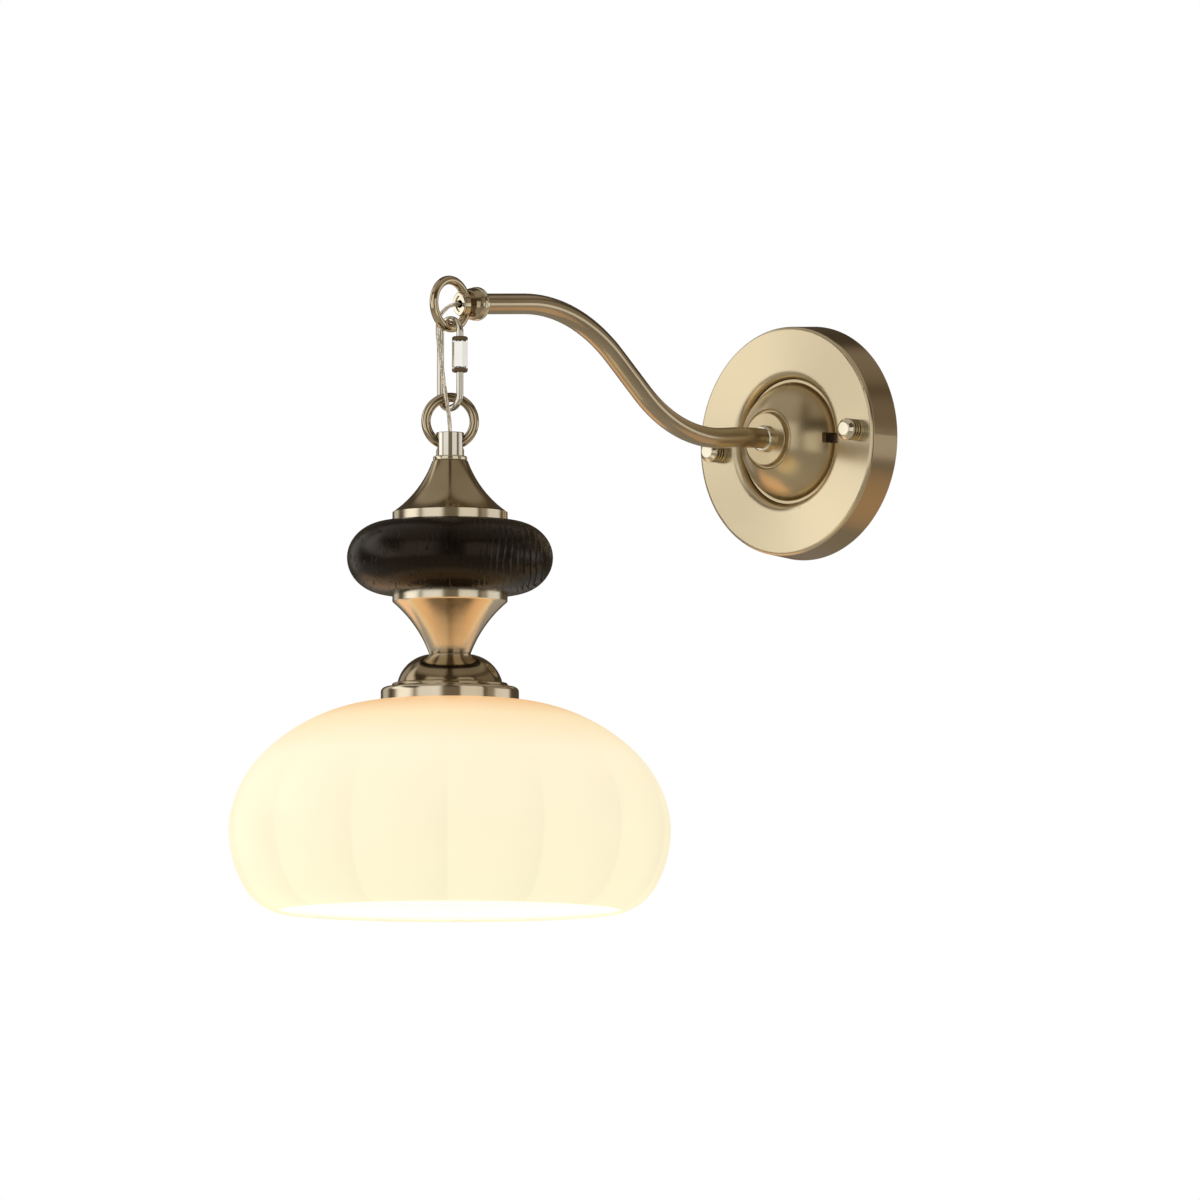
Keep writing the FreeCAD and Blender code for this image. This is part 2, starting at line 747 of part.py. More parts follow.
def make_lower_cone():
    waist = V(lower_cone_waist_r, 0, lower_foot - lower_cone_height * (1 - cone_waist_share))
    flare = Part.Arc(V(lower_cone_foot_r, 0, lower_foot), waist, V(lower_cone_top_r, 0, cap_top)).toShape()
    rim = Part.makePolygon([V(cone_rim_r, 0, wood_bottom), V(cone_rim_r, 0, lower_foot + rim_step),
                            V(lower_cone_foot_r, 0, lower_foot)])
    return on_pendant(spun(Part.Wire(rim.Edges + [flare]), cone_wall))


def make_cap():
    """Domed cap under the lower cone, with a turned-out lip on the gallery."""
    shoulder = V(cap_shoulder_r, 0, cap_top - cap_height * cap_shoulder_share)
    side = Part.Arc(V(cap_neck_r, 0, cap_top), shoulder, V(cap_foot_r, 0, cap_foot)).toShape()
    top = Part.makeLine(V(stem_r + fit, 0, cap_top), V(cap_neck_r, 0, cap_top))
    foot = Part.makeLine(V(cap_foot_r, 0, cap_foot), V(cap_foot_r, 0, gallery_top))
    shell = spun(Part.Wire([top, side, foot]), cone_wall)
    lip = revolve(outline([(cap_foot_r - cone_wall / 2, gallery_top), (cap_lip_r, gallery_top),
                           (cap_lip_r, cap_foot), (cap_foot_r - cone_wall / 2, cap_foot)],
                          [0, 0, cap_lip_round, 0]))
    return on_pendant(shell.fuse(lip).removeSplitter())


def make_gallery():
    """Pressed flange with a rounded edge that stands on the glass."""
    skin = corner_path([V(stem_r + fit, 0, gallery_top), V(gallery_r, 0, gallery_top),
                        V(gallery_r, 0, shade_seat)], [gallery_round])
    return on_pendant(spun(skin, gallery_wall))


def make_stem():
    bottom = holder_top - holder_cap_roof
    return on_pendant(tube(stem_r, stem_bore_r, bottom, stem_top))


def arc_chain(start, heading, arcs, side):
    """Tangent arcs of the glass from a start point; side is 1 to turn left and -1 to turn right."""
    edges = []
    point = start
    for share, turn in arcs:
        radius = share * shade_r
        centre = point + polar(radius, heading + side * 90)
        middle = centre - polar(radius, heading + side * (90 + turn / 2))
        heading += side * turn
        end = centre - polar(radius, heading + side * 90)
        edges.append(Part.Arc(point, middle, end).toShape())
        point = end
    return edges, point


def polar(length, degrees):
    angle = math.radians(degrees)
    return V(length * math.cos(angle), 0, length * math.sin(angle))


def shade_skin():
    """Outside line of the glass from its fitter hole down to its mouth."""
    widest = V(shade_r, 0, shade_equator)
    crown, top = arc_chain(widest, 90, shade_crown_arcs, 1)
    belly, mouth = arc_chain(widest, -90, shade_belly_arcs, -1)
    seat = Part.makeLine(V(shade_hole_r, 0, top.z), top)
    return Part.Wire([seat] + crown[::-1] + belly)


def make_shade():
    """Opal glass bowl with a fire-polished mouth and a fitter hole in its crown."""
    bowl = spun(shade_skin(), shade_wall)
    mouth_z = bowl.BoundBox.ZMin
    rims = [e for e in bowl.Edges if e.BoundBox.ZMax < mouth_z + shade_wall and e.BoundBox.ZLength < 0.01]
    return on_pendant(bowl.makeFillet(shade_rim_round, rims))


def make_holder_cap():
    foot = holder_top - holder_cap_height
    cap = revolve(outline([(0, foot), (holder_r, foot), (holder_r, holder_top), (0, holder_top)],
                          [0, 0, holder_cap_round, 0]))
    room = cylinder(holder_r - holder_wall, foot, holder_top - holder_cap_roof)
    return on_pendant(cap.cut(room).cut(cylinder(stem_r, foot, holder_top)))


def make_holder_skirt():
    top = holder_top - holder_cap_height
    return on_pendant(tube(holder_r, holder_r - holder_wall, holder_top - holder_length, top))


def make_shade_nut():
    """Threaded ring that clamps the glass up against the gallery."""
    top = shade_seat - shade_wall
    ring = revolve(outline([(holder_r + shade_nut_fit, top - shade_nut_height),
                            (shade_nut_r - shade_nut_bevel, top - shade_nut_height),
                            (shade_nut_r, top - shade_nut_bevel), (shade_nut_r, top),
                            (holder_r + shade_nut_fit, top)], [0, shade_nut_round, shade_nut_round, 0, 0]))
    return on_pendant(ring)


def make_core():
    """Ceramic insert that carries the contacts."""
    core = cylinder(holder_r - holder_wall - fit, shell_top, core_top - fit)
    wireway = cylinder(cord_r + fit, core_top - core_wireway, core_top)
    return on_pendant(core.cut(wireway))


def make_screw_shell():
    bottom = shell_top - screw_shell_length
    return on_pendant(tube(screw_shell_r, screw_shell_r - screw_shell_wall, bottom, shell_top))


def make_contact():
    return on_pendant(cylinder(contact_r, contact_bottom, shell_top))


def make_lamp_cap():
    foot = lamp_top - lamp_cap_length
    cap = revolve(outline([(0, foot), (lamp_cap_r, foot), (lamp_cap_r, lamp_top - lamp_cap_shoulder),
                           (lamp_tip_r, lamp_top - lamp_tip), (lamp_tip_r, lamp_top), (0, lamp_top)],
                          [0, 0, lamp_cap_round, 0, 0, 0]))
    return on_pendant(cap)


def make_lamp_globe():
    """Small round lamp bulb below its screw cap."""
    foot = lamp_top - lamp_cap_length
    low = lamp_top - lamp_length
    centre = low + lamp_globe_r
    throat = V(lamp_neck_r + lamp_throat, 0, foot - lamp_throat_drop)
    touch = math.radians(lamp_join_angle)
    join = V(lamp_globe_r * math.cos(touch), 0, centre + lamp_globe_r * math.sin(touch))
    side = Part.Arc(V(lamp_neck_r, 0, foot), throat, join).toShape()
    crown = V(0, 0, centre) + polar(lamp_globe_r, lamp_join_angle / 2 - 45)
    globe = Part.Arc(join, crown, V(0, 0, low)).toShape()
    rest = Part.makePolygon([V(0, 0, low), V(0, 0, foot), V(lamp_neck_r, 0, foot)])
    return on_pendant(revolve(Part.Wire([side, globe] + rest.Edges)))


def cord_points():
    """Route of the free flex from the wireway's mouth, past the link and ring, into the neck."""
    mouth = eye_centre - tip_heading * (boss_lip - ferrule_lip)
    axis = V(0, eye_centre.y, 0)
    side = V(link_half_width, 0, 0)
    front = V(0, -cord_front, 0)
    drop = V(0, 0, link_bottom - link_top)
    top = axis + V(0, 0, link_top)
    before_ring = ring_wire_r + 2 * cord_r + cord_clear
    in_bore = ring_front * (neck_bore_r - cord_r - cord_bore_gap)
    return [mouth,
            mouth + tip_heading * cord_lead,
            top - side * 0.49 + front - drop * 0.037,
            top - side * 0.61 + front * 0.96 + drop * 0.183,
            top - side * 0.46 + front * 0.67 + drop * 0.413,
            top - side * 0.09 + front * 0.8 + drop * 0.688,
            axis - ring_axis * 2 * cord_r + ring_front * before_ring + V(0, 0, ring_top - 0.7 * ring_wire_r),
            axis + in_bore - ring_axis * 0.4 * cord_r + V(0, 0, ring_centre),
            axis + in_bore + V(0, 0, neck_top - cord_dip),
            axis + in_bore * 0.5 + V(0, 0, stem_top + cord_end_rise)]


def bend_radii(points):
    """The largest tangent arc that each pair of runs has room for."""
    radii = []
    for before, corner, after in zip(points, points[1:], points[2:]):
        shorter = min((corner - before).Length, (after - corner).Length)
        half_turn = (corner - before).getAngle(after - corner) / 2
        radii.append(bend_share * shorter / math.tan(half_turn))
    return radii


def make_cord():
    points = cord_points()
    radii = bend_radii(points)
    path = corner_path(points, radii)
    cord = round_sweep(path, cord_r)
    expected = math.pi * cord_r ** 2 * path.Length
    print("cord radii", [round(radius, 1) for radius in radii])
    print("cord length %.1f volume %.2f expected %.2f" % (path.Length, cord.Volume, expected))
    return cord


def make_drop_flex():
    """The rest of the flex, down the stem to the lamp holder."""
    start = cord_points()[-1]
    axis = V(0, eye_centre.y, 0)
    heading = (cord_points()[-1] - cord_points()[-2]).normalize()
    points = [start, start + heading * drop_lead, axis + V(0, 0, stem_top - drop_settle),
              axis + V(0, 0, core_top - core_wireway)]
    return round_sweep(corner_path(points, bend_radii(points)), cord_r)


def write(name, shape):
    shape.exportStep("parts/%s.step" % name)
    print(name, shape.isValid(), len(shape.Solids), round(shape.Volume, 1))


def main():
    os.makedirs("parts", exist_ok=True)
    eye = make_eye()
    pieces = {
        "wall_bracket": make_bracket(),
        "plate_studs": make_studs(),
        "stud_nuts": make_stud_nuts(),
        "earth_screw": make_earth_screw(),
        "wall_plate": make_plate(),
        "cap_nuts": make_cap_nuts(),
        "arm_dome": make_dome(),
        "clamp_strap": make_strap(),
        "clamp_washer": make_washer(),
        "clamp_nut": make_clamp_nut(),
        "arm_nipple": make_nipple(),
        "base_collar": make_base_collar(),
        "arm_tube": make_arm(),
        "bead_collar": make_bead_collar(),
        "end_barrel": make_barrel(eye),
        "eye_ring": eye,
        "wireway_ferrule": make_ferrule(),
        "feed_flex": make_feed_flex(),
        "quick_link": make_link(),
        "link_nut": make_link_nut(),
        "lower_ring": make_ring(),
        "cord": make_cord(),
        "neck": make_neck(),
        "neck_washer": make_neck_washer(),
        "upper_cone": make_upper_cone(),
        "wood_bead": make_wood(),
        "lower_cone": make_lower_cone(),
        "dome_cap": make_cap(),
        "gallery": make_gallery(),
        "stem": make_stem(),
        "drop_flex": make_drop_flex(),
        "holder_cap": make_holder_cap(),
        "holder_skirt": make_holder_skirt(),
        "shade_nut": make_shade_nut(),
        "holder_core": make_core(),
        "screw_shell": make_screw_shell(),
        "centre_contact": make_contact(),
        "lamp_cap": make_lamp_cap(),
        "lamp_globe": make_lamp_globe(),
        "glass_shade": make_shade(),
    }
    for name, shape in pieces.items():
        write(name, shape)
    print("eye centre", eye_centre)
    print("link top %.3f bottom %.3f ring top %.3f pivot %.3f"
          % (link_top, link_bottom, ring_top, pendant_pivot))
    print("ring centre %.3f" % ring_centre)
    print("neck top %.2f seat %.2f equator %.2f" % (neck_top, shade_seat, shade_equator))


main()
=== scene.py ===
import math

import bpy
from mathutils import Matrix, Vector


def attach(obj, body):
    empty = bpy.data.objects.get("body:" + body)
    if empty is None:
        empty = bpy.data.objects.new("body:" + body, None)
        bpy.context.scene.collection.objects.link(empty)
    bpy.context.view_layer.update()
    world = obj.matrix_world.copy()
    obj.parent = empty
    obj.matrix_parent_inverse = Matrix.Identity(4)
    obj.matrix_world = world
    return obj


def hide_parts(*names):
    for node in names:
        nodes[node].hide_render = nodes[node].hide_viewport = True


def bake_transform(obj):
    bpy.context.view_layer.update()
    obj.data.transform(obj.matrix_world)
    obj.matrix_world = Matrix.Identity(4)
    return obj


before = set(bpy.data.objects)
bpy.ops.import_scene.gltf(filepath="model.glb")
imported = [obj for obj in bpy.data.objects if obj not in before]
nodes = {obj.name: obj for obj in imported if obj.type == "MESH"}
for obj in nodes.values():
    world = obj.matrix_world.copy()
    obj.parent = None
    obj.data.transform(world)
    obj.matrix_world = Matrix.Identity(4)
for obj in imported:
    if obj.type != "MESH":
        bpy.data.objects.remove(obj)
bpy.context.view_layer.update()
print("frame loaded:", len(nodes), "nodes")


def addObject(name, data):
    thing = bpy.data.objects.new(name, data)
    bpy.context.collection.objects.link(thing)
    return thing


# Camera

cameraValues = {
    "azimuth": 41.8514,   # degrees round from straight ahead
    "elevation": -4.7579,   # a little below the shade, looking up
    "distance": 7.5,
    "target": (-0.053804, -0.100, -0.083605),
    "lens": 442.14,
    "sensor": 36.0,
    "clipEnd": 50.0,
}


def placeCamera(values):
    a, e = math.radians(values["azimuth"]), math.radians(values["elevation"])
    back = Vector((math.sin(a) * math.cos(e), -math.cos(a) * math.cos(e), math.sin(e)))
    data = bpy.data.cameras.new("photoCamera")
    data.lens = values["lens"]
    data.sensor_width = data.sensor_height = values["sensor"]
    data.sensor_fit = "HORIZONTAL"
    data.clip_end = values["clipEnd"]
    camera = addObject("photoCamera", data)
    camera.location = Vector(values["target"]) + back * values["distance"]
    camera.rotation_euler = back.to_track_quat("Z", "Y").to_euler()
    bpy.context.scene.camera = camera


placeCamera(cameraValues)
print("camera placed")


# Mesh helpers

def smoothFaces(mesh):
    for polygon in mesh.polygons:
        polygon.use_smooth = True


def addMesh(name, verts, faces):
    mesh = bpy.data.meshes.new(name)
    mesh.from_pydata([tuple(v) for v in verts], [], faces)
    mesh.validate()
    mesh.update()
    smoothFaces(mesh)
    return addObject(name, mesh)


def turnProfile(name, profile, steps, centre):
    # a closed profile of (radius, height); its ring of points runs anticlockwise seen from above
    verts, faces = [], []
    rows = len(profile)
    for radius, height in profile:
        for k in range(steps):
            a = 2 * math.pi * k / steps
            verts.append((centre[0] + radius * math.cos(a), centre[1] + radius * math.sin(a), height))
    for r in range(rows):
        upper, lower = r * steps, ((r + 1) % rows) * steps
        for k in range(steps):
            after = (k + 1) % steps
            faces.append((upper + k, lower + k, lower + after, upper + after))
    return addMesh(name, verts, faces)


def splinePath(points, resolution):
    # the points that a NURBS line with these control points runs through
    curve = bpy.data.curves.new("route", "CURVE")
    curve.dimensions = "3D"
    curve.resolution_u = resolution
    spline = curve.splines.new("NURBS")
    spline.points.add(len(points) - 1)
    for point, place in zip(spline.points, points):
        point.co = (*place, 1.0)
    spline.order_u = 3
    spline.use_endpoint_u = True
    route = addObject("route", curve)
    bpy.context.view_layer.update()
    mesh = bpy.data.meshes.new_from_object(route)
    path = [v.co.copy() for v in mesh.vertices]
    bpy.data.objects.remove(route)
    bpy.data.meshes.remove(mesh)
    bpy.data.curves.remove(curve)
    return path


def followPath(path):
    # a frame at each point that doesn't twist along the way
    tangents = [(b - a).normalized() for a, b in zip(path, path[1:])]
    headings = [tangents[0]] + [(a + b).normalized() for a, b in zip(tangents, tangents[1:])] + [tangents[-1]]
    side = headings[0].orthogonal().normalized()
    frames = []
    for heading in headings:
        side = (side - heading * side.dot(heading)).normalized()
        frames.append((side, heading.cross(side)))
    return frames


def sweepTube(name, path, radius, sides):
    verts, faces = [], []
    for point, (side, up) in zip(path, followPath(path)):
        for k in range(sides):
            a = 2 * math.pi * k / sides
            verts.append(point + (side * math.cos(a) + up * math.sin(a)) * radius)
    for r in range(len(path) - 1):
        for k in range(sides):
            after = (k + 1) % sides
            faces.append((r * sides + k, r * sides + after, (r + 1) * sides + after, (r + 1) * sides + k))
    faces.append(tuple(reversed(range(sides))))
    last = (len(path) - 1) * sides
    faces.append(tuple(range(last, last + sides)))
    return addMesh(name, verts, faces)


def plainMesh(piece):
    # the evaluated result as a plain mesh, with the modifiers removed
    graph = bpy.context.evaluated_depsgraph_get()
    graph.update()
    mesh = bpy.data.meshes.new_from_object(piece.evaluated_get(graph))
    piece.modifiers.clear()
    piece.data = mesh
    return piece


# Geometry node trees

def newTree(name, inputs):
    tree = bpy.data.node_groups.new(name, "GeometryNodeTree")
    tree.interface.new_socket("Geometry", in_out="INPUT", socket_type="NodeSocketGeometry")
    for label, kind, value in inputs:
        socket = tree.interface.new_socket(label, in_out="INPUT", socket_type="NodeSocket" + kind)
        if value is not None:
            socket.default_value = value
    tree.interface.new_socket("Geometry", in_out="OUTPUT", socket_type="NodeSocketGeometry")
    start = tree.nodes.new("NodeGroupInput")
    return tree, start


def endTree(tree, start, geometry):
    realize = tree.nodes.new("GeometryNodeRealizeInstances")
    finish = tree.nodes.new("GeometryNodeSetMaterial")
    end = tree.nodes.new("NodeGroupOutput")
    tree.links.new(geometry, realize.inputs[0])
    tree.links.new(realize.outputs[0], finish.inputs["Geometry"])
    tree.links.new(start.outputs["Material"], finish.inputs["Material"])
    tree.links.new(finish.outputs[0], end.inputs[0])


def applyTree(piece, tree, values):
    modifier = piece.modifiers.new(tree.name, "NODES")
    modifier.node_group = tree
    for item in tree.interface.items_tree:
        if item.item_type == "SOCKET" and item.in_out == "INPUT" and item.name in values:
            modifier[item.identifier] = values[item.name]
    return plainMesh(piece)


# Nodes that shape and shader trees share

def feed(tree, value, socket):
    # a socket takes another node's output or a plain value
    if isinstance(value, bpy.types.NodeSocket):
        tree.links.new(value, socket)
    elif value is not None:
        socket.default_value = value


def mathNode(tree, operation, a, b=None):
    node = tree.nodes.new("ShaderNodeMath")
    node.operation = operation
    feed(tree, a, node.inputs[0])
    feed(tree, b, node.inputs[1])
    return node.outputs[0]


def radiusNode(tree, a, b):
    return mathNode(tree, "SQRT", mathNode(tree, "ADD", mathNode(tree, "POWER", a, 2.0),
                                           mathNode(tree, "POWER", b, 2.0)))


def betweenNode(tree, value, low, high):
    return mathNode(tree, "MULTIPLY", mathNode(tree, "GREATER_THAN", value, low),
                    mathNode(tree, "LESS_THAN", value, high))


def vectorNode(tree, operation, a, b=None):
    node = tree.nodes.new("ShaderNodeVectorMath")
    node.operation = operation
    feed(tree, a, node.inputs[0])
    feed(tree, b, node.inputs["Scale"] if operation == "SCALE" else node.inputs[1])
    return node.outputs["Value" if operation == "DOT_PRODUCT" else "Vector"]


def splitNode(tree, vector):
    node = tree.nodes.new("ShaderNodeSeparateXYZ")
    tree.links.new(vector, node.inputs[0])
    return node.outputs


def joinNode(tree, x, y):
    node = tree.nodes.new("ShaderNodeCombineXYZ")
    feed(tree, x, node.inputs[0])
    feed(tree, y, node.inputs[1])
    return node.outputs[0]


def rangeNode(tree, value, low, high, toLow, toHigh, smooth=False):
    node = tree.nodes.new("ShaderNodeMapRange")
    if smooth:
        node.interpolation_type = "SMOOTHSTEP"
    for label, number in (("Value", value), ("From Min", low), ("From Max", high), ("To Min", toLow),
                          ("To Max", toHigh)):
        feed(tree, number, node.inputs[label])
    return node.outputs["Result"]


# Shader nodes shared by the finishes

def newGroup(name, inputs, outputs):
    group = bpy.data.node_groups.new(name, "ShaderNodeTree")
    for label, kind, value in inputs:
        socket = group.interface.new_socket(label, in_out="INPUT", socket_type="NodeSocket" + kind)
        socket.default_value = value
    for label, kind in outputs:
        group.interface.new_socket(label, in_out="OUTPUT", socket_type="NodeSocket" + kind)
    return group, group.nodes.new("NodeGroupInput"), group.nodes.new("NodeGroupOutput")


def noiseNode(tree, vector, scale, detail=4.0, roughness=0.55, distortion=0.0):
    node = tree.nodes.new("ShaderNodeTexNoise")
    node.inputs["Detail"].default_value = detail
    node.inputs["Roughness"].default_value = roughness
    node.inputs["Distortion"].default_value = distortion
    tree.links.new(vector, node.inputs["Vector"])
    feed(tree, scale, node.inputs["Scale"])
    return node.outputs["Fac"]


def mixColour(tree, factor, a, b, blendType="MIX"):
    node = tree.nodes.new("ShaderNodeMix")
    node.data_type = "RGBA"
    node.blend_type = blendType
    # a mix of colours has its own three sockets among those of the other types
    for place, value in ((0, factor), (6, a), (7, b)):
        feed(tree, value, node.inputs[place])
    return node.outputs[2]


def bumpNode(tree, height, strength, distance):
    node = tree.nodes.new("ShaderNodeBump")
    node.inputs["Strength"].default_value = strength
    node.inputs["Distance"].default_value = distance
    tree.links.new(height, node.inputs["Height"])
    return node.outputs[0]


def objectVector(tree):
    return tree.nodes.new("ShaderNodeTexCoord").outputs["Object"]


def makeMetalGroup():
    # handled metal: cloudy tone, fine brush lines round an axis, faint smudges
    group, start, end = newGroup(
        "handledMetal",
        [("Vector", "Vector", (0, 0, 0)), ("Light Tone", "Color", (0.8, 0.7, 0.5, 1)),
         ("Dark Tone", "Color", (0.5, 0.4, 0.3, 1)), ("Cloud Scale", "Float", 30.0),
         ("Line Scale", "Float", 1200.0), ("Roughness Low", "Float", 0.2), ("Roughness High", "Float", 0.35)],
        [("Color", "Color"), ("Roughness", "Float"), ("Height", "Float")])
    links = group.links
    vector = start.outputs["Vector"]
    split = splitNode(group, vector)
    across = joinNode(group, radiusNode(group, split["X"], split["Y"]), split["Z"])
    lines = noiseNode(group, across, start.outputs["Line Scale"], detail=2.0, roughness=0.7)
    cloud = noiseNode(group, vector, start.outputs["Cloud Scale"], detail=5.0)
    smudge = noiseNode(group, vector, mathNode(group, "MULTIPLY", start.outputs["Cloud Scale"], 4.0),
                       detail=6.0, roughness=0.7, distortion=0.6)
    tone = mixColour(group, rangeNode(group, cloud, 0.32, 0.68, 0.0, 1.0),
                     start.outputs["Dark Tone"], start.outputs["Light Tone"])
    links.new(tone, end.inputs["Color"])
    worn = rangeNode(group, smudge, 0.3, 0.7, start.outputs["Roughness Low"], start.outputs["Roughness High"])
    links.new(worn, end.inputs["Roughness"])
    links.new(lines, end.inputs["Height"])
    return group


metalGroup = makeMetalGroup()


def newMaterial(name):
    material = bpy.data.materials.new(name)
    material.use_nodes = True
    tree = material.node_tree
    shader = tree.nodes["Principled BSDF"]
    return material, tree, shader


def srgb(red, green, blue):
    # a colour as it shows on screen, 0 to 255, in linear light
    out = []
    for value in (red, green, blue):
        c = value / 255
        out.append(c / 12.92 if c <= 0.04045 else ((c + 0.055) / 1.055) ** 2.4)
    return (*out, 1.0)


def placedVector(tree, centre, turn=(0.0, 0.0, 0.0)):
    # Object coordinates about a centre, turned so that the piece's own axis is Z
    mapping = tree.nodes.new("ShaderNodeMapping")
    mapping.vector_type = "TEXTURE"
    mapping.inputs["Rotation"].default_value = turn
    tree.links.new(vectorNode(tree, "SUBTRACT", objectVector(tree), centre), mapping.inputs["Vector"])
    return mapping.outputs[0]


def dress(tree, shader, colour, roughness, height, strength, distance):
    # what every finish has: a colour, a roughness and a relief that vary over the surface
    tree.links.new(colour, shader.inputs["Base Color"])
    tree.links.new(roughness, shader.inputs["Roughness"])
    tree.links.new(bumpNode(tree, height, strength, distance), shader.inputs["Normal"])


lineHeight = 0.0002   # of brush lines and other fine marks


def metalMaterial(name, values):
    material, tree, shader = newMaterial(name)
    group = tree.nodes.new("ShaderNodeGroup")
    group.node_tree = metalGroup
    tree.links.new(placedVector(tree, values["centre"], values.get("turn", (0.0, 0.0, 0.0))),
                   group.inputs["Vector"])
    group.inputs["Light Tone"].default_value = srgb(*values["light"])
    group.inputs["Dark Tone"].default_value = srgb(*values["dark"])
    group.inputs["Cloud Scale"].default_value = values.get("clouds", 30.0)
    group.inputs["Roughness Low"].default_value = values["roughness"][0]
    group.inputs["Roughness High"].default_value = values["roughness"][1]
    colour = group.outputs["Color"]
    for axis, low, high, tone in values.get("toneAndPaintedLightBands", []):
        # a stretch along one axis in a tone of its own: painted shade on the wall plate and the link's sleeve,
        # a painted highlight on the upper cone's rim, and a greyer band on the lower cone's rim
        along = splitNode(tree, objectVector(tree))[axis]
        colour = mixColour(tree, betweenNode(tree, along, low, high), colour, srgb(*tone))
    dress(tree, shader, colour, group.outputs["Roughness"], group.outputs["Height"], values["bump"], lineHeight)
    shader.inputs["Metallic"].default_value = 1.0
    if "spun" in values:
        # the tool marks run round the axis, which draws highlights out across them
        tangent = tree.nodes.new("ShaderNodeTangent")
        tangent.direction_type = "RADIAL"
        tangent.axis, shader.inputs["Anisotropic"].default_value = values["spun"]
        shader.inputs["Anisotropic Rotation"].default_value = 0.25   # a quarter turn
        tree.links.new(tangent.outputs[0], shader.inputs["Tangent"])
    return material


# Finishes

onWall = (math.radians(90), 0.0, 0.0)   # turned work on the wall plate spins about Y
eyeCentre = (0.0, -0.271993, 0.050839)
pendantAxis = (0.0, eyeCentre[1], 0.0)

metalValues = {
    "brushed_bronze": {"light": (218, 202, 168), "dark": (212, 196, 161), "roughness": (0.25, 0.26),
                       "centre": (0.0, 0.0, 0.0), "turn": onWall, "clouds": 9.0, "bump": 0.012,
                       # painted shade: the wall plate's rim side and recess are darker
                       "spun": ("Y", 0.8), "toneAndPaintedLightBands": [("Y", -0.0162, 0.001, (172, 152, 120))]},
    "satin_bronze": {"light": (192, 176, 147), "dark": (178, 162, 134), "roughness": (0.17, 0.20),
                     "centre": (0.0, 0.0, 0.0), "clouds": 30.0, "bump": 0.006},
    "polished_brass": {"light": (236, 228, 206), "dark": (214, 204, 178), "roughness": (0.05, 0.09),
                       "centre": (0.0, 0.0, 0.0), "turn": onWall, "bump": 0.02},
    "polished_bronze": {"light": (206, 189, 157), "dark": (186, 169, 138), "roughness": (0.05, 0.08),
                        "centre": eyeCentre, "bump": 0.02},
    "polished_steel": {"light": (236, 231, 217), "dark": (220, 213, 197), "roughness": (0.04, 0.07),
                       "centre": pendantAxis, "bump": 0.02},
    "spun_bronze": {"light": (184, 168, 136), "dark": (166, 149, 118), "roughness": (0.15, 0.20),
                    "centre": pendantAxis, "bump": 0.05, "spun": ("Z", 0.4),
                    # painted highlight: the upper cone's rim band is lighter
                    "toneAndPaintedLightBands": [("Z", -0.05808, -0.05345, (222, 210, 184))]},
    "gallery_bronze": {"light": (226, 212, 186), "dark": (206, 190, 162), "roughness": (0.13, 0.18),
                       "centre": pendantAxis, "bump": 0.04, "spun": ("Z", 0.4)},
    "spun_gold": {"light": (240, 227, 204), "dark": (226, 211, 186), "roughness": (0.18, 0.23),
                  "centre": pendantAxis, "bump": 0.07, "spun": ("Z", 0.5),
                  "toneAndPaintedLightBands": [("Z", -0.0981, -0.0942, (228, 217, 193))]},
    "cap_bronze": {"light": (172, 155, 124), "dark": (150, 133, 104), "roughness": (0.11, 0.16),
                   "centre": pendantAxis, "bump": 0.04, "spun": ("Z", 0.4)},
    "zinc_steel": {"light": (205, 206, 204), "dark": (180, 182, 182), "roughness": (0.32, 0.46),
                   "centre": (0.0, 0.0, 0.0), "clouds": 60.0, "bump": 0.05},
    "earth_brass": {"light": (214, 184, 116), "dark": (190, 158, 92), "roughness": (0.24, 0.34),
                    "centre": (0.0, 0.0, 0.0), "bump": 0.04},
    "contact_brass": {"light": (220, 194, 126), "dark": (196, 166, 98), "roughness": (0.22, 0.3),
                      "centre": pendantAxis, "bump": 0.04},
    "lamp_cap_metal": {"light": (222, 222, 218), "dark": (198, 198, 194), "roughness": (0.2, 0.3),
                       "centre": pendantAxis, "bump": 0.05},
}

# pieces whose finish differs from the rest of their slot
pieceMetalValues = {
    "arm_dome": {"light": (204, 186, 150), "dark": (188, 170, 134), "roughness": (0.28, 0.30),
                 "centre": (0.0, 0.0, 0.0), "turn": onWall, "clouds": 16.0, "bump": 0.012, "spun": ("Y", 0.3)},
    "link_nut": {"light": (252, 250, 244), "dark": (240, 236, 226), "roughness": (0.05, 0.09),
                 "centre": pendantAxis, "bump": 0.02,
                 # painted shade: dark bands at both ends of the sleeve
                 "toneAndPaintedLightBands": [("Z", 0.016, 0.01844, (92, 76, 54)), ("Z", 0.03184, 0.0343, (92, 76, 54))]},
    "lower_ring": {"light": (196, 180, 150), "dark": (176, 160, 131), "roughness": (0.04, 0.07),
                   "centre": pendantAxis, "bump": 0.02},
}

finishes = {}
for slotName, values in metalValues.items():
    finishes[slotName] = metalMaterial(slotName + "_finish", values)


nutValues = {
    "place": (0.04641, 0.00284),   # of the right-hand nut; the other lies opposite
    "sides": (-0.0242, -0.0180),   # along Y, from the shoulder to the plate
    "depths": (0.00535, 0.00552),   # radius where the groove is full and where it ends
    # colour of the painted shade in the grooves
    "grooveShade": (34, 26, 16),
}


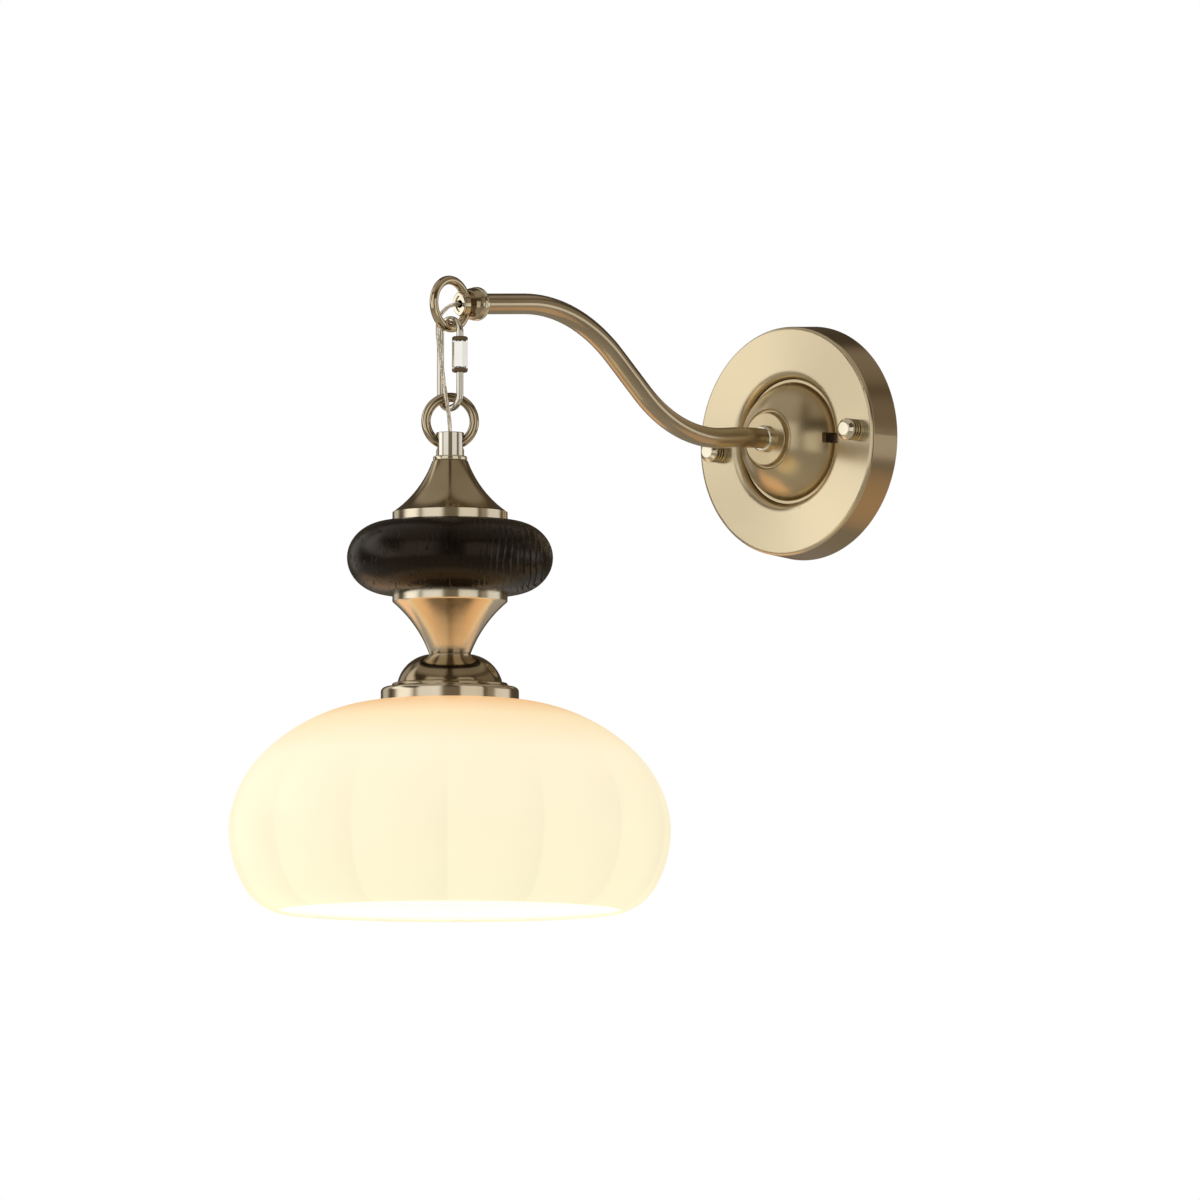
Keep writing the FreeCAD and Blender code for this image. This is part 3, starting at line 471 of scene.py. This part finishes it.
def makeGroovedNut(finish, values):
    # the polish with painted shade darkening the grooves
    material = finish.copy()
    material.name = "grooved_nut_finish"
    tree = material.node_tree
    shader = tree.nodes["Principled BSDF"]
    split = splitNode(tree, objectVector(tree))
    hand = mathNode(tree, "SIGN", split["X"])
    x, z = (mathNode(tree, "SUBTRACT", mathNode(tree, "MULTIPLY", split[axis], hand), at)
            for axis, at in zip("XZ", values["place"]))
    deep = rangeNode(tree, radiusNode(tree, x, z), *values["depths"], 1.0, 0.0)
    onSide = betweenNode(tree, split["Y"], *values["sides"])
    polish = shader.inputs["Base Color"].links[0].from_socket
    # painted shade: the grooves' sides turn dark brown
    tree.links.new(mixColour(tree, mathNode(tree, "MULTIPLY", deep, onSide), polish, srgb(*values["grooveShade"])),
                   shader.inputs["Base Color"])
    return material


woodValues = {
    "dark": (6, 4, 3),
    "light": (18, 13, 8),
    "groove": (2, 2, 1),
    "layers": 320.0,   # growth layers to the metre, stacked along the plank's width
    "waver": 2.2,
    "roughness": (0.25, 0.42),
    "turn": math.radians(41.85),   # the layers face the right-hand side of the photograph
    "spread": (0.008, 0.030),   # how far out the open grain starts and where it is full
    "bump": 1.0,
    "grooveDepth": 0.0007,
    "gloss": 0.33,
    "glossTint": (0.92, 0.74, 0.52, 1.0),
}


def makeWood(values):
    material, tree, shader = newMaterial("dark_wood_finish")
    plank = placedVector(tree, pendantAxis, (0.0, 0.0, values["turn"]))
    across = splitNode(tree, plank)["X"]
    sway = noiseNode(tree, plank, 34.0, detail=2.0)
    depth = mathNode(tree, "MULTIPLY", across, values["layers"])
    layer = mathNode(tree, "ADD", depth, mathNode(tree, "MULTIPLY", sway, values["waver"]))
    # each layer ends in a line of open vessels, so the groove has one steep side
    tooth = mathNode(tree, "FRACT", mathNode(tree, "ADD", layer, 100.0))
    line = rangeNode(tree, tooth, 0.66, 0.94, 0.0, 1.0)
    patches = rangeNode(tree, noiseNode(tree, plank, 70.0, detail=3.0), 0.38, 0.6, 0.0, 1.0)
    out = rangeNode(tree, across, *values["spread"], 0.0, 1.0)
    groove = mathNode(tree, "MULTIPLY", mathNode(tree, "MULTIPLY", line, out), mathNode(
        tree, "ADD", 0.35, mathNode(tree, "MULTIPLY", patches, 0.65)))
    # short vessels that show as ticks where the layers lie flat
    stretch = tree.nodes.new("ShaderNodeMapping")
    stretch.inputs["Scale"].default_value = (1.0, 0.22, 0.35)
    tree.links.new(plank, stretch.inputs["Vector"])
    ticks = rangeNode(tree, noiseNode(tree, stretch.outputs[0], 620.0, detail=2.0, roughness=0.6),
                      0.32, 0.38, 1.0, 0.0)
    pore = mathNode(tree, "MULTIPLY", ticks, mathNode(tree, "MULTIPLY", patches, 0.7))
    opened = mathNode(tree, "MAXIMUM", groove, pore)
    tone = mixColour(tree, mathNode(tree, "MULTIPLY", tooth, patches), srgb(*values["light"]),
                     srgb(*values["dark"]))
    dress(tree, shader, mixColour(tree, opened, tone, srgb(*values["groove"])),
          rangeNode(tree, opened, 0.0, 1.0, *values["roughness"]), mathNode(tree, "MULTIPLY", opened, -1.0),
          values["bump"], values["grooveDepth"])
    shader.inputs["Specular IOR Level"].default_value = values["gloss"]
    shader.inputs["Specular Tint"].default_value = values["glossTint"]
    return material


finishes["dark_wood"] = makeWood(woodValues)


dullValues = {
    "black_plastic": {"light": (34, 34, 35), "dark": (24, 24, 25), "roughness": (0.35, 0.5), "clouds": 240.0},
    "porcelain": {"light": (240, 236, 226), "dark": (228, 222, 210), "roughness": (0.2, 0.32), "clouds": 90.0},
}


def makeDull(name, values):
    material, tree, shader = newMaterial(name + "_finish")
    vector = placedVector(tree, pendantAxis)
    cloud = noiseNode(tree, vector, values["clouds"], detail=6.0)
    dress(tree, shader, mixColour(tree, cloud, srgb(*values["dark"]), srgb(*values["light"])),
          rangeNode(tree, cloud, 0.3, 0.7, *values["roughness"]),
          noiseNode(tree, vector, values["clouds"] * 12, detail=2.0), 0.08, lineHeight)
    return material


for slotName, values in dullValues.items():
    finishes[slotName] = makeDull(slotName, values)


lampValues = {
    "dark": (250, 244, 226),
    "light": (255, 251, 238),
    "frost": 400.0,
    "roughness": (0.3, 0.45),
    "glow": (255, 244, 214),
    "strength": 3.0,
}


def makeLampGlass(values):
    # frosted, lit from within
    material, tree, shader = newMaterial("lamp_glass_finish")
    frost = noiseNode(tree, placedVector(tree, pendantAxis), values["frost"], detail=3.0)
    dress(tree, shader, mixColour(tree, frost, srgb(*values["dark"]), srgb(*values["light"])),
          rangeNode(tree, frost, 0.3, 0.7, *values["roughness"]), frost, 0.05, 0.0001)
    shader.inputs["Emission Color"].default_value = srgb(*values["glow"])
    shader.inputs["Emission Strength"].default_value = values["strength"]
    return material


finishes["lamp_glass"] = makeLampGlass(lampValues)

panelCount = 14
firstCrease = math.radians(cameraValues["azimuth"] - 90.0)   # towards the camera of the photograph

opalValues = {
    "body": (156, 150, 134),
    "top": (238, 180, 116),
    "upper": (248, 223, 178),
    "middle": (250, 239, 207),
    "bottom": (253, 245, 209),
    "inside": (255, 254, 240),
    "heights": (-0.1475, -0.158, -0.177, -0.2527),
    "strength": 0.89,
    "roughness": (0.32, 0.4),
    "gloss": 0.2,
    "creaseShade": 0.055,
    "creaseHeights": (-0.168, -0.206),   # where the flats begin and where they are full
}


def makeOpal(values, inside=False):
    # cased opal glass with the lamp's light in it, warmer towards its crown
    material, tree, shader = newMaterial("opal_inside_glow" if inside else "opal_glass_finish")
    vector = objectVector(tree)
    top, bottom = values["heights"][0], values["heights"][-1]
    ramp = tree.nodes.new("ShaderNodeValToRGB")
    tree.links.new(rangeNode(tree, splitNode(tree, vector)["Z"], top, bottom, 0.0, 1.0), ramp.inputs["Fac"])
    stops = [((h - top) / (bottom - top), srgb(*values[label]))
             for h, label in zip(values["heights"], ("top", "upper", "middle", "bottom"))]
    elements = ramp.color_ramp.elements
    elements[0].position, elements[0].color = stops[0]
    elements[1].position, elements[1].color = stops[-1]
    for position, colour in stops[1:-1]:
        elements.new(position).color = colour
    cloud = noiseNode(tree, vector, 22.0, detail=3.0)
    streaks = rangeNode(tree, cloud, 0.3, 0.7, 0.97, 1.0)
    glow = mixColour(tree, 1.0, ramp.outputs["Color"], streaks, "MULTIPLY")
    if inside:
        # painted light: the inside, which faces the lamp, glows whiter
        glow = mixColour(tree, 0.8, glow, srgb(*values["inside"]))
    else:
        # a faint line down each edge between two flats, and each flat a little brighter to one side
        place = splitNode(tree, placedVector(tree, pendantAxis))
        turn = mathNode(tree, "SUBTRACT", mathNode(tree, "ARCTAN2", place["Y"], place["X"]), firstCrease)
        share = mathNode(tree, "FRACT", mathNode(tree, "ADD", mathNode(
            tree, "MULTIPLY", turn, panelCount / (2 * math.pi)), 100.0))
        side = mathNode(tree, "POWER", share, 2.5)
        fade = rangeNode(tree, place["Z"], *values["creaseHeights"], 0.0, values["creaseShade"])
        shadeBy = mathNode(tree, "SUBTRACT", 1.0, mathNode(tree, "MULTIPLY", side, fade))
        glow = mixColour(tree, 1.0, glow, shadeBy, "MULTIPLY")
    tree.links.new(glow, shader.inputs["Emission Color"])
    shader.inputs["Emission Strength"].default_value = values["strength"]
    dress(tree, shader, mixColour(tree, cloud, srgb(*values["body"]), srgb(*(c - 6 for c in values["body"]))),
          rangeNode(tree, cloud, 0.3, 0.7, *values["roughness"]),
          noiseNode(tree, vector, 60.0, detail=2.0), 0.03, 0.0005)
    shader.inputs["Specular IOR Level"].default_value = values["gloss"]
    return material


finishes["opal_glass"] = makeOpal(opalValues)
opalInside = makeOpal(opalValues, inside=True)


jacketValues = {
    "dark": (238, 236, 226),
    "light": (252, 250, 242),
    "haze": 500.0,
    "roughness": (0.06, 0.16),
    "clearness": 0.92,
    "bending": 1.45,   # of light
}


def makeClearFlex(values):
    material, tree, shader = newMaterial("clear_flex_finish")
    haze = noiseNode(tree, objectVector(tree), values["haze"], detail=3.0)
    dress(tree, shader, mixColour(tree, haze, srgb(*values["dark"]), srgb(*values["light"])),
          rangeNode(tree, haze, 0.3, 0.7, *values["roughness"]), haze, 0.06, 0.0001)
    shader.inputs["Transmission Weight"].default_value = values["clearness"]
    shader.inputs["IOR"].default_value = values["bending"]
    return material


def makeStrand(name, light, dark):
    # bare wire strands laid side by side
    material, tree, shader = newMaterial(name)
    lay = noiseNode(tree, objectVector(tree), 500.0, detail=2.0)
    dress(tree, shader, mixColour(tree, rangeNode(tree, lay, 0.35, 0.65, 0.0, 1.0), srgb(*dark), srgb(*light)),
          rangeNode(tree, lay, 0.3, 0.7, 0.24, 0.4), lay, 0.1, 0.0001)
    shader.inputs["Metallic"].default_value = 1.0
    return material


finishes["clear_flex"] = makeClearFlex(jacketValues)
tinnedStrand = makeStrand("tinned_strand", (240, 237, 228), (196, 190, 178))
brassStrand = makeStrand("brass_strand", (226, 208, 182), (176, 156, 128))

pieceFinishes = {name: metalMaterial(name + "_finish", values) for name, values in pieceMetalValues.items()}
pieceFinishes["cap_nuts"] = makeGroovedNut(finishes["polished_brass"], nutValues)

for name, node in nodes.items():
    slotName = node.data.materials[0].name
    node.data.materials[0] = pieceFinishes.get(name, finishes[slotName])
print("finishes:", len(finishes))


# Flex: the free stretch, in two runs that meet on the lower ring's own axis

flexValues = {
    "radius": 0.001,
    "sides": 20,
    "resolution": 14,
    "coreRadius": 0.00036,
    "coreOffset": 0.00042,
    "turnsPerMetre": 38.0,
    "seamRun": 0.0025,
    "route": [(0.0, -0.265712, 0.051333), (0.0, -0.271295, 0.050894), (-0.003209, -0.277393, 0.044631),
              (-0.003995, -0.277177, 0.034863), (-0.003013, -0.275611, 0.024651),
              (-0.000589, -0.276313, 0.012441), (0.001892, -0.276713, 0.002401),
              (0.002687, -0.275245, -0.007986), (0.002970, -0.274962, -0.019577),
              (0.001485, -0.273478, -0.024977), (0.000716, -0.272709, -0.027773),
              (0.0, -0.271993, -0.037977), (0.0, -0.271993, -0.149277)],
    "linkAt": 3,   # the route's point by the link
    "seamAt": 7,   # its point at the height of the ring's centre
    "neckAt": 9,   # its point by the pendant's neck
}


def makeCoreTree():
    # wires that wind round a line inside the jacket
    tree, start = newTree("windingCores", [("Offset", "Float", 0.0004), ("Radius", "Float", 0.0003),
                                           ("Turns per Metre", "Float", 40.0), ("Start Angle", "Float", 0.0),
                                           ("Material", "Material", None)])
    nodesOf = tree.nodes
    curve = nodesOf.new("GeometryNodeMeshToCurve")
    tree.links.new(start.outputs["Geometry"], curve.inputs["Mesh"])
    tangent = nodesOf.new("GeometryNodeInputTangent").outputs[0]
    spline = nodesOf.new("GeometryNodeSplineParameter")
    # the flex never runs along X, so X gives a frame that two runs share where they meet
    normal = vectorNode(tree, "NORMALIZE", vectorNode(tree, "CROSS_PRODUCT", tangent, (1.0, 0.0, 0.0)))
    cross = vectorNode(tree, "CROSS_PRODUCT", tangent, normal)
    angle = mathNode(tree, "ADD", start.outputs["Start Angle"], mathNode(
        tree, "MULTIPLY", mathNode(tree, "MULTIPLY", spline.outputs["Length"], 2 * math.pi),
        start.outputs["Turns per Metre"]))
    parts = []
    for operation, direction in (("COSINE", normal), ("SINE", cross)):
        amount = mathNode(tree, "MULTIPLY", mathNode(tree, operation, angle), start.outputs["Offset"])
        parts.append(vectorNode(tree, "SCALE", direction, amount))
    place = nodesOf.new("GeometryNodeSetPosition")
    tree.links.new(curve.outputs[0], place.inputs["Geometry"])
    tree.links.new(vectorNode(tree, "ADD", *parts), place.inputs["Offset"])
    circle = nodesOf.new("GeometryNodeCurvePrimitiveCircle")
    circle.inputs["Resolution"].default_value = 8
    tree.links.new(start.outputs["Radius"], circle.inputs["Radius"])
    sweep = nodesOf.new("GeometryNodeCurveToMesh")
    tree.links.new(place.outputs[0], sweep.inputs["Curve"])
    tree.links.new(circle.outputs[0], sweep.inputs["Profile Curve"])
    sweep.inputs["Fill Caps"].default_value = True
    endTree(tree, start, sweep.outputs[0])
    return tree


coreTree = makeCoreTree()


def makeCore(name, path, values, startAngle, material):
    mesh = bpy.data.meshes.new(name)
    mesh.from_pydata([tuple(p) for p in path], [(k, k + 1) for k in range(len(path) - 1)], [])
    core = addObject(name, mesh)
    applyTree(core, coreTree, {"Offset": values["coreOffset"], "Radius": values["coreRadius"],
                               "Turns per Metre": values["turnsPerMetre"], "Start Angle": startAngle,
                               "Material": material})
    smoothFaces(core.data)
    return core


def pathLength(path):
    return sum((b - a).length for a, b in zip(path, path[1:]))


def makeFlexRun(name, points, values, startAngle=0.0):
    path = splinePath(points, values["resolution"])
    jacket = sweepTube(name, path, values["radius"], values["sides"])
    jacket.data.materials.append(finishes["clear_flex"])
    cores = [makeCore(name + "_core_a", path, values, startAngle, tinnedStrand),
             makeCore(name + "_core_b", path, values, startAngle + math.pi, brassStrand)]
    return jacket, cores, path


def makeFlex(values):
    route = [Vector(p) for p in values["route"]]
    k, run = values["seamAt"], values["seamRun"]
    before = route[k] + (route[k - 1] - route[k]).normalized() * run
    after = route[k] + (route[k + 1] - route[k]).normalized() * run
    seam = (before + after) / 2
    upper = makeFlexRun("flex_upper", route[:k] + [before, seam], values)
    wound = 2 * math.pi * values["turnsPerMetre"] * pathLength(upper[2])
    lower = makeFlexRun("flex_lower", [seam, after] + route[k + 1:], values, wound)
    for (jacket, cores, path), bodies, start, end in (
            (upper, ("wall_mount", "link"), route[0], route[values["linkAt"]]),
            (lower, ("ring", "pendant"), seam, route[values["neckAt"]])):
        for piece in [jacket] + cores:
            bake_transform(piece)
        print(jacket.name, "length %.4f m" % pathLength(path))
    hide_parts("cord")
    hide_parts("drop_flex")


makeFlex(flexValues)


# Shade: a bowl of blown opal glass with shallow flats round its side

shadeValues = {
    "steps": 336,
    "wall": 0.003,
    "hole": 0.0203,
    "seat": 0.028,   # radius of the flat round the hole
    "start": (0.1099, -0.2116722),   # widest line
    "crownArcs": [(0.0383, 11.8), (0.0596, 35.0), (0.0931, 39.2)],   # radius and turn, tangent to each other
    "bellyArcs": [(0.0572, 30.0), (0.0270, 43.0)],
    "lipSteps": 8,
    "lipBulge": 0.6,   # of half the wall's thickness
    "stepDegrees": 2.2,
    "creaseDepth": 0.00045,
    "fadeTop": -0.168,
    "fadeLow": -0.206,
}


def arcPoints(start, heading, arcs, side, stepDegrees):
    points = []
    x, z = start
    for radius, turn in arcs:
        cx = x + radius * math.cos(math.radians(heading + side * 90))
        cz = z + radius * math.sin(math.radians(heading + side * 90))
        count = max(2, round(turn / stepDegrees))
        for k in range(1, count + 1):
            a = math.radians(heading + side * (turn * k / count - 90))
            x, z = cx + radius * math.cos(a), cz + radius * math.sin(a)
            points.append((x, z))
        heading += side * turn
    return points


def shadeOutline(values):
    crown = arcPoints(values["start"], 90, values["crownArcs"], 1, values["stepDegrees"])
    belly = arcPoints(values["start"], -90, values["bellyArcs"], -1, values["stepDegrees"])
    rim = [(radius, crown[-1][1]) for radius in (values["hole"], values["seat"])]
    outer = rim + crown[::-1] + [values["start"]] + belly
    inner = []
    for k, (x, z) in enumerate(outer):
        before, after = outer[max(k - 1, 0)], outer[min(k + 1, len(outer) - 1)]
        tx, tz = after[0] - before[0], after[1] - before[1]
        size = math.hypot(tx, tz)
        inner.append((x + tz / size * values["wall"], z - tx / size * values["wall"]))
    inner[0] = (values["hole"], inner[0][1])
    # fire-polished lip: a flat half round between the outer and the inner line
    (ox, oz), (ix, iz) = outer[-1], inner[-1]
    middle = ((ox + ix) / 2, (oz + iz) / 2)
    px, pz = outer[-2]
    tx, tz = ox - px, oz - pz
    size = math.hypot(tx, tz)
    half = values["wall"] / 2
    lip = []
    for k in range(1, values["lipSteps"]):
        a = math.pi * k / values["lipSteps"]
        across, along = math.cos(a), math.sin(a) * values["lipBulge"]
        lip.append((middle[0] + (ox - middle[0]) * across + tx / size * half * along,
                    middle[1] + (oz - middle[1]) * across + tz / size * half * along))
    return outer, lip, inner


def makePanelTree():
    # pulls the glass in along lines that fade out towards the crown
    tree, start = newTree("panelledGlass", [("Panels", "Float", 14.0), ("First Crease", "Float", 0.0),
                                            ("Depth", "Float", 0.0004), ("Fade Top", "Float", 0.0),
                                            ("Fade Low", "Float", -0.1), ("Centre Y", "Float", 0.0),
                                            ("Material", "Material", None)])
    nodesOf = tree.nodes
    split = splitNode(tree, nodesOf.new("GeometryNodeInputPosition").outputs[0])
    y = mathNode(tree, "SUBTRACT", split["Y"], start.outputs["Centre Y"])
    angle = mathNode(tree, "SUBTRACT", mathNode(tree, "ARCTAN2", y, split["X"]), start.outputs["First Crease"])
    turn = mathNode(tree, "MULTIPLY", angle, mathNode(tree, "DIVIDE", start.outputs["Panels"], 2 * math.pi))
    # 1 on a crease and 0 half way between two, with a sharp top
    away = mathNode(tree, "ABSOLUTE", mathNode(tree, "SUBTRACT", mathNode(tree, "FRACT", mathNode(
        tree, "ADD", turn, 100.5)), 0.5))
    crease = mathNode(tree, "SUBTRACT", 1.0, mathNode(tree, "MULTIPLY", away, 2.0))
    sharp = mathNode(tree, "POWER", crease, 3.0)
    fade = rangeNode(tree, split["Z"], start.outputs["Fade Top"], start.outputs["Fade Low"], 0.0, 1.0,
                     smooth=True)
    amount = mathNode(tree, "MULTIPLY", mathNode(tree, "MULTIPLY", sharp, fade),
                      mathNode(tree, "MULTIPLY", start.outputs["Depth"], -1.0))
    outwards = vectorNode(tree, "NORMALIZE", joinNode(tree, split["X"], y))
    place = nodesOf.new("GeometryNodeSetPosition")
    tree.links.new(start.outputs["Geometry"], place.inputs["Geometry"])
    tree.links.new(vectorNode(tree, "SCALE", outwards, amount), place.inputs["Offset"])
    endTree(tree, start, place.outputs[0])
    return tree


def makeShade(values):
    outer, lip, inner = shadeOutline(values)
    profile = outer + lip + inner[::-1]
    shade = turnProfile("opal_shade", profile, values["steps"], pendantAxis)
    applyTree(shade, makePanelTree(), {
        "Panels": float(panelCount), "First Crease": firstCrease,
        "Depth": values["creaseDepth"], "Fade Top": values["fadeTop"], "Fade Low": values["fadeLow"],
        "Centre Y": pendantAxis[1], "Material": finishes["opal_glass"]})
    # the faces from the lip inwards look at the lamp
    shade.data.materials.append(opalInside)
    firstInside = (len(outer) + len(lip) // 2) * values["steps"]
    smoothFaces(shade.data)
    for polygon in shade.data.polygons:
        polygon.material_index = 1 if polygon.index >= firstInside else 0
    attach(shade, "pendant")
    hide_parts("glass_shade")


makeShade(shadeValues)
print("shade made")


# Stage: floor, lamps and surroundings

stageValues = {
    "floorHeight": -1.1,
    "floorSize": 8.0,
    "floorColour": (240, 240, 238),
    "floorLift": 0.9,
    "lamps": [
        # name, place, size, watts, colour, whether polished metal mirrors it
        ("key", (-1.25, -1.5, 0.75), 0.9, 7.0, (255, 252, 246), False),
        # close by the pendant, to its right
        ("card", (0.4925, -0.36, -0.02), 0.36, 0.31, (255, 254, 250), True),
        ("top", (0.1, -0.3, 1.8), 1.0, 5.0, (255, 255, 255), False),
        # low behind and low on the left, which tan the arm's underside
        ("warm", (0.42, 0.62, -0.62), 0.66, 0.5, (255, 196, 124), True),
        ("glow", (-0.535, -0.043, -0.57), 0.5, 0.55, (255, 190, 116), True),
    ],
}


def makeFloor(values):
    half, height = values["floorSize"] / 2, values["floorHeight"]
    floor = addMesh("floor", [(-half, -half, height), (half, -half, height), (half, half, height),
                              (-half, half, height)], [(0, 1, 2, 3)])
    material, tree, shader = newMaterial("floor_paint")
    shader.inputs["Base Color"].default_value = srgb(*values["floorColour"])
    shader.inputs["Roughness"].default_value = 0.8
    # the camera sees the lit floor as white as the backdrop, and a shadow on it a little darker
    shader.inputs["Emission Color"].default_value = (1, 1, 1, 1)
    path = tree.nodes.new("ShaderNodeLightPath")
    lift = mathNode(tree, "MULTIPLY", path.outputs["Is Camera Ray"], values["floorLift"])
    tree.links.new(lift, shader.inputs["Emission Strength"])
    floor.data.materials.append(material)


def makeLamp(name, place, size, watts, colour, mirrored, target=(0.0, -0.2, -0.05)):
    data = bpy.data.lights.new(name, "AREA")
    data.shape = "SQUARE"
    data.size = size
    data.energy = watts
    data.color = srgb(*colour)[:3]
    lamp = addObject(name, data)
    lamp.location = place
    lamp.rotation_euler = (Vector(place) - Vector(target)).to_track_quat("Z", "Y").to_euler()
    lamp.visible_camera = False
    lamp.visible_glossy = mirrored


worldValues = {
    "facing": (0.6672, -0.7449, 0.0),   # level line from the object to the camera
    "toRight": (0.7449, 0.6672, 0.0),
    "base": 0.09,
    "soft": 5.0,   # degrees over which a field fades out
    "shadowTint": (1.0, 0.80, 0.56, 1.0),   # the dim parts of the room are brown
    "whiteFrom": 0.7,   # and those this bright are white
    # field: degrees round from the camera, begin and end; degrees of height, begin and end; brightness;
    # how far it climbs for each degree towards the left
    "fields": [
        (-58.0, -13.0, -24.0, 34.0, 0.95, 0.0),   # soft box ahead, to the left
        (-122.0, -58.0, -10.0, 20.0, 1.3, 0.8),   # tilted soft box at the left
        (64.0, 124.0, -4.0, 34.0, 0.34, 0.0),   # wall to the right
        (80.0, 120.0, -13.0, 8.0, 1.10, 0.0),   # strip light along its foot
        (-19.0, 18.0, -8.0, 14.0, 0.18, 0.0),   # between them, behind the camera
        (-150.0, -9.0, 38.0, 89.0, 0.50, 0.0),   # ceiling, with a gap over the camera
        (9.0, 150.0, 38.0, 89.0, 0.42, 0.0),
        (-150.0, -124.0, -24.0, 34.0, 0.60, 0.0),   # narrow light behind, left
    ],
    "tiltAbout": -84.0,
}


def makeWorld(values):
    # a dark room with soft boxes, laid out round the camera of the photograph
    world = bpy.data.worlds.new("studio")
    bpy.context.scene.world = world
    world.use_nodes = True
    tree = world.node_tree
    tree.nodes.clear()
    outwards = tree.nodes.new("ShaderNodeTexCoord").outputs["Generated"]
    ahead, right, up = (vectorNode(tree, "DOT_PRODUCT", outwards, direction)
                        for direction in (values["facing"], values["toRight"], (0.0, 0.0, 1.0)))
    bearing = mathNode(tree, "DEGREES", mathNode(tree, "ARCTAN2", right, ahead))
    height = mathNode(tree, "DEGREES", mathNode(tree, "ARCSINE", up))
    soft, total = values["soft"], values["base"]
    for begin, end, low, high, brightness, climb in values["fields"]:
        level = mathNode(tree, "ADD", height, mathNode(tree, "MULTIPLY", mathNode(
            tree, "SUBTRACT", bearing, values["tiltAbout"]), climb))
        field = brightness
        for where, edge, inwards in ((bearing, begin, soft), (bearing, end, -soft), (level, low, soft),
                                     (level, high, -soft)):
            share = rangeNode(tree, where, edge - inwards, edge + inwards, 0.0, 1.0)
            field = mathNode(tree, "MULTIPLY", field, share)
        total = mathNode(tree, "MAXIMUM", total, field)
    surroundings = tree.nodes.new("ShaderNodeBackground")
    tree.links.new(total, surroundings.inputs["Strength"])
    tree.links.new(mixColour(tree, rangeNode(tree, total, values["base"], values["whiteFrom"], 0.0, 1.0),
                             values["shadowTint"], (1.0, 1.0, 1.0, 1.0)), surroundings.inputs["Color"])
    white = tree.nodes.new("ShaderNodeBackground")
    white.inputs["Color"].default_value = (1, 1, 1, 1)
    path = tree.nodes.new("ShaderNodeLightPath")
    seen = mathNode(tree, "MAXIMUM", path.outputs["Is Camera Ray"], path.outputs["Is Transmission Ray"])
    mix = tree.nodes.new("ShaderNodeMixShader")
    tree.links.new(seen, mix.inputs[0])
    tree.links.new(surroundings.outputs[0], mix.inputs[1])
    tree.links.new(white.outputs[0], mix.inputs[2])
    output = tree.nodes.new("ShaderNodeOutputWorld")
    tree.links.new(mix.outputs[0], output.inputs["Surface"])


makeFloor(stageValues)
for lampValues in stageValues["lamps"]:
    makeLamp(*lampValues)
makeWorld(worldValues)
bpy.context.scene.view_settings.view_transform = "Standard"
print("stage set")
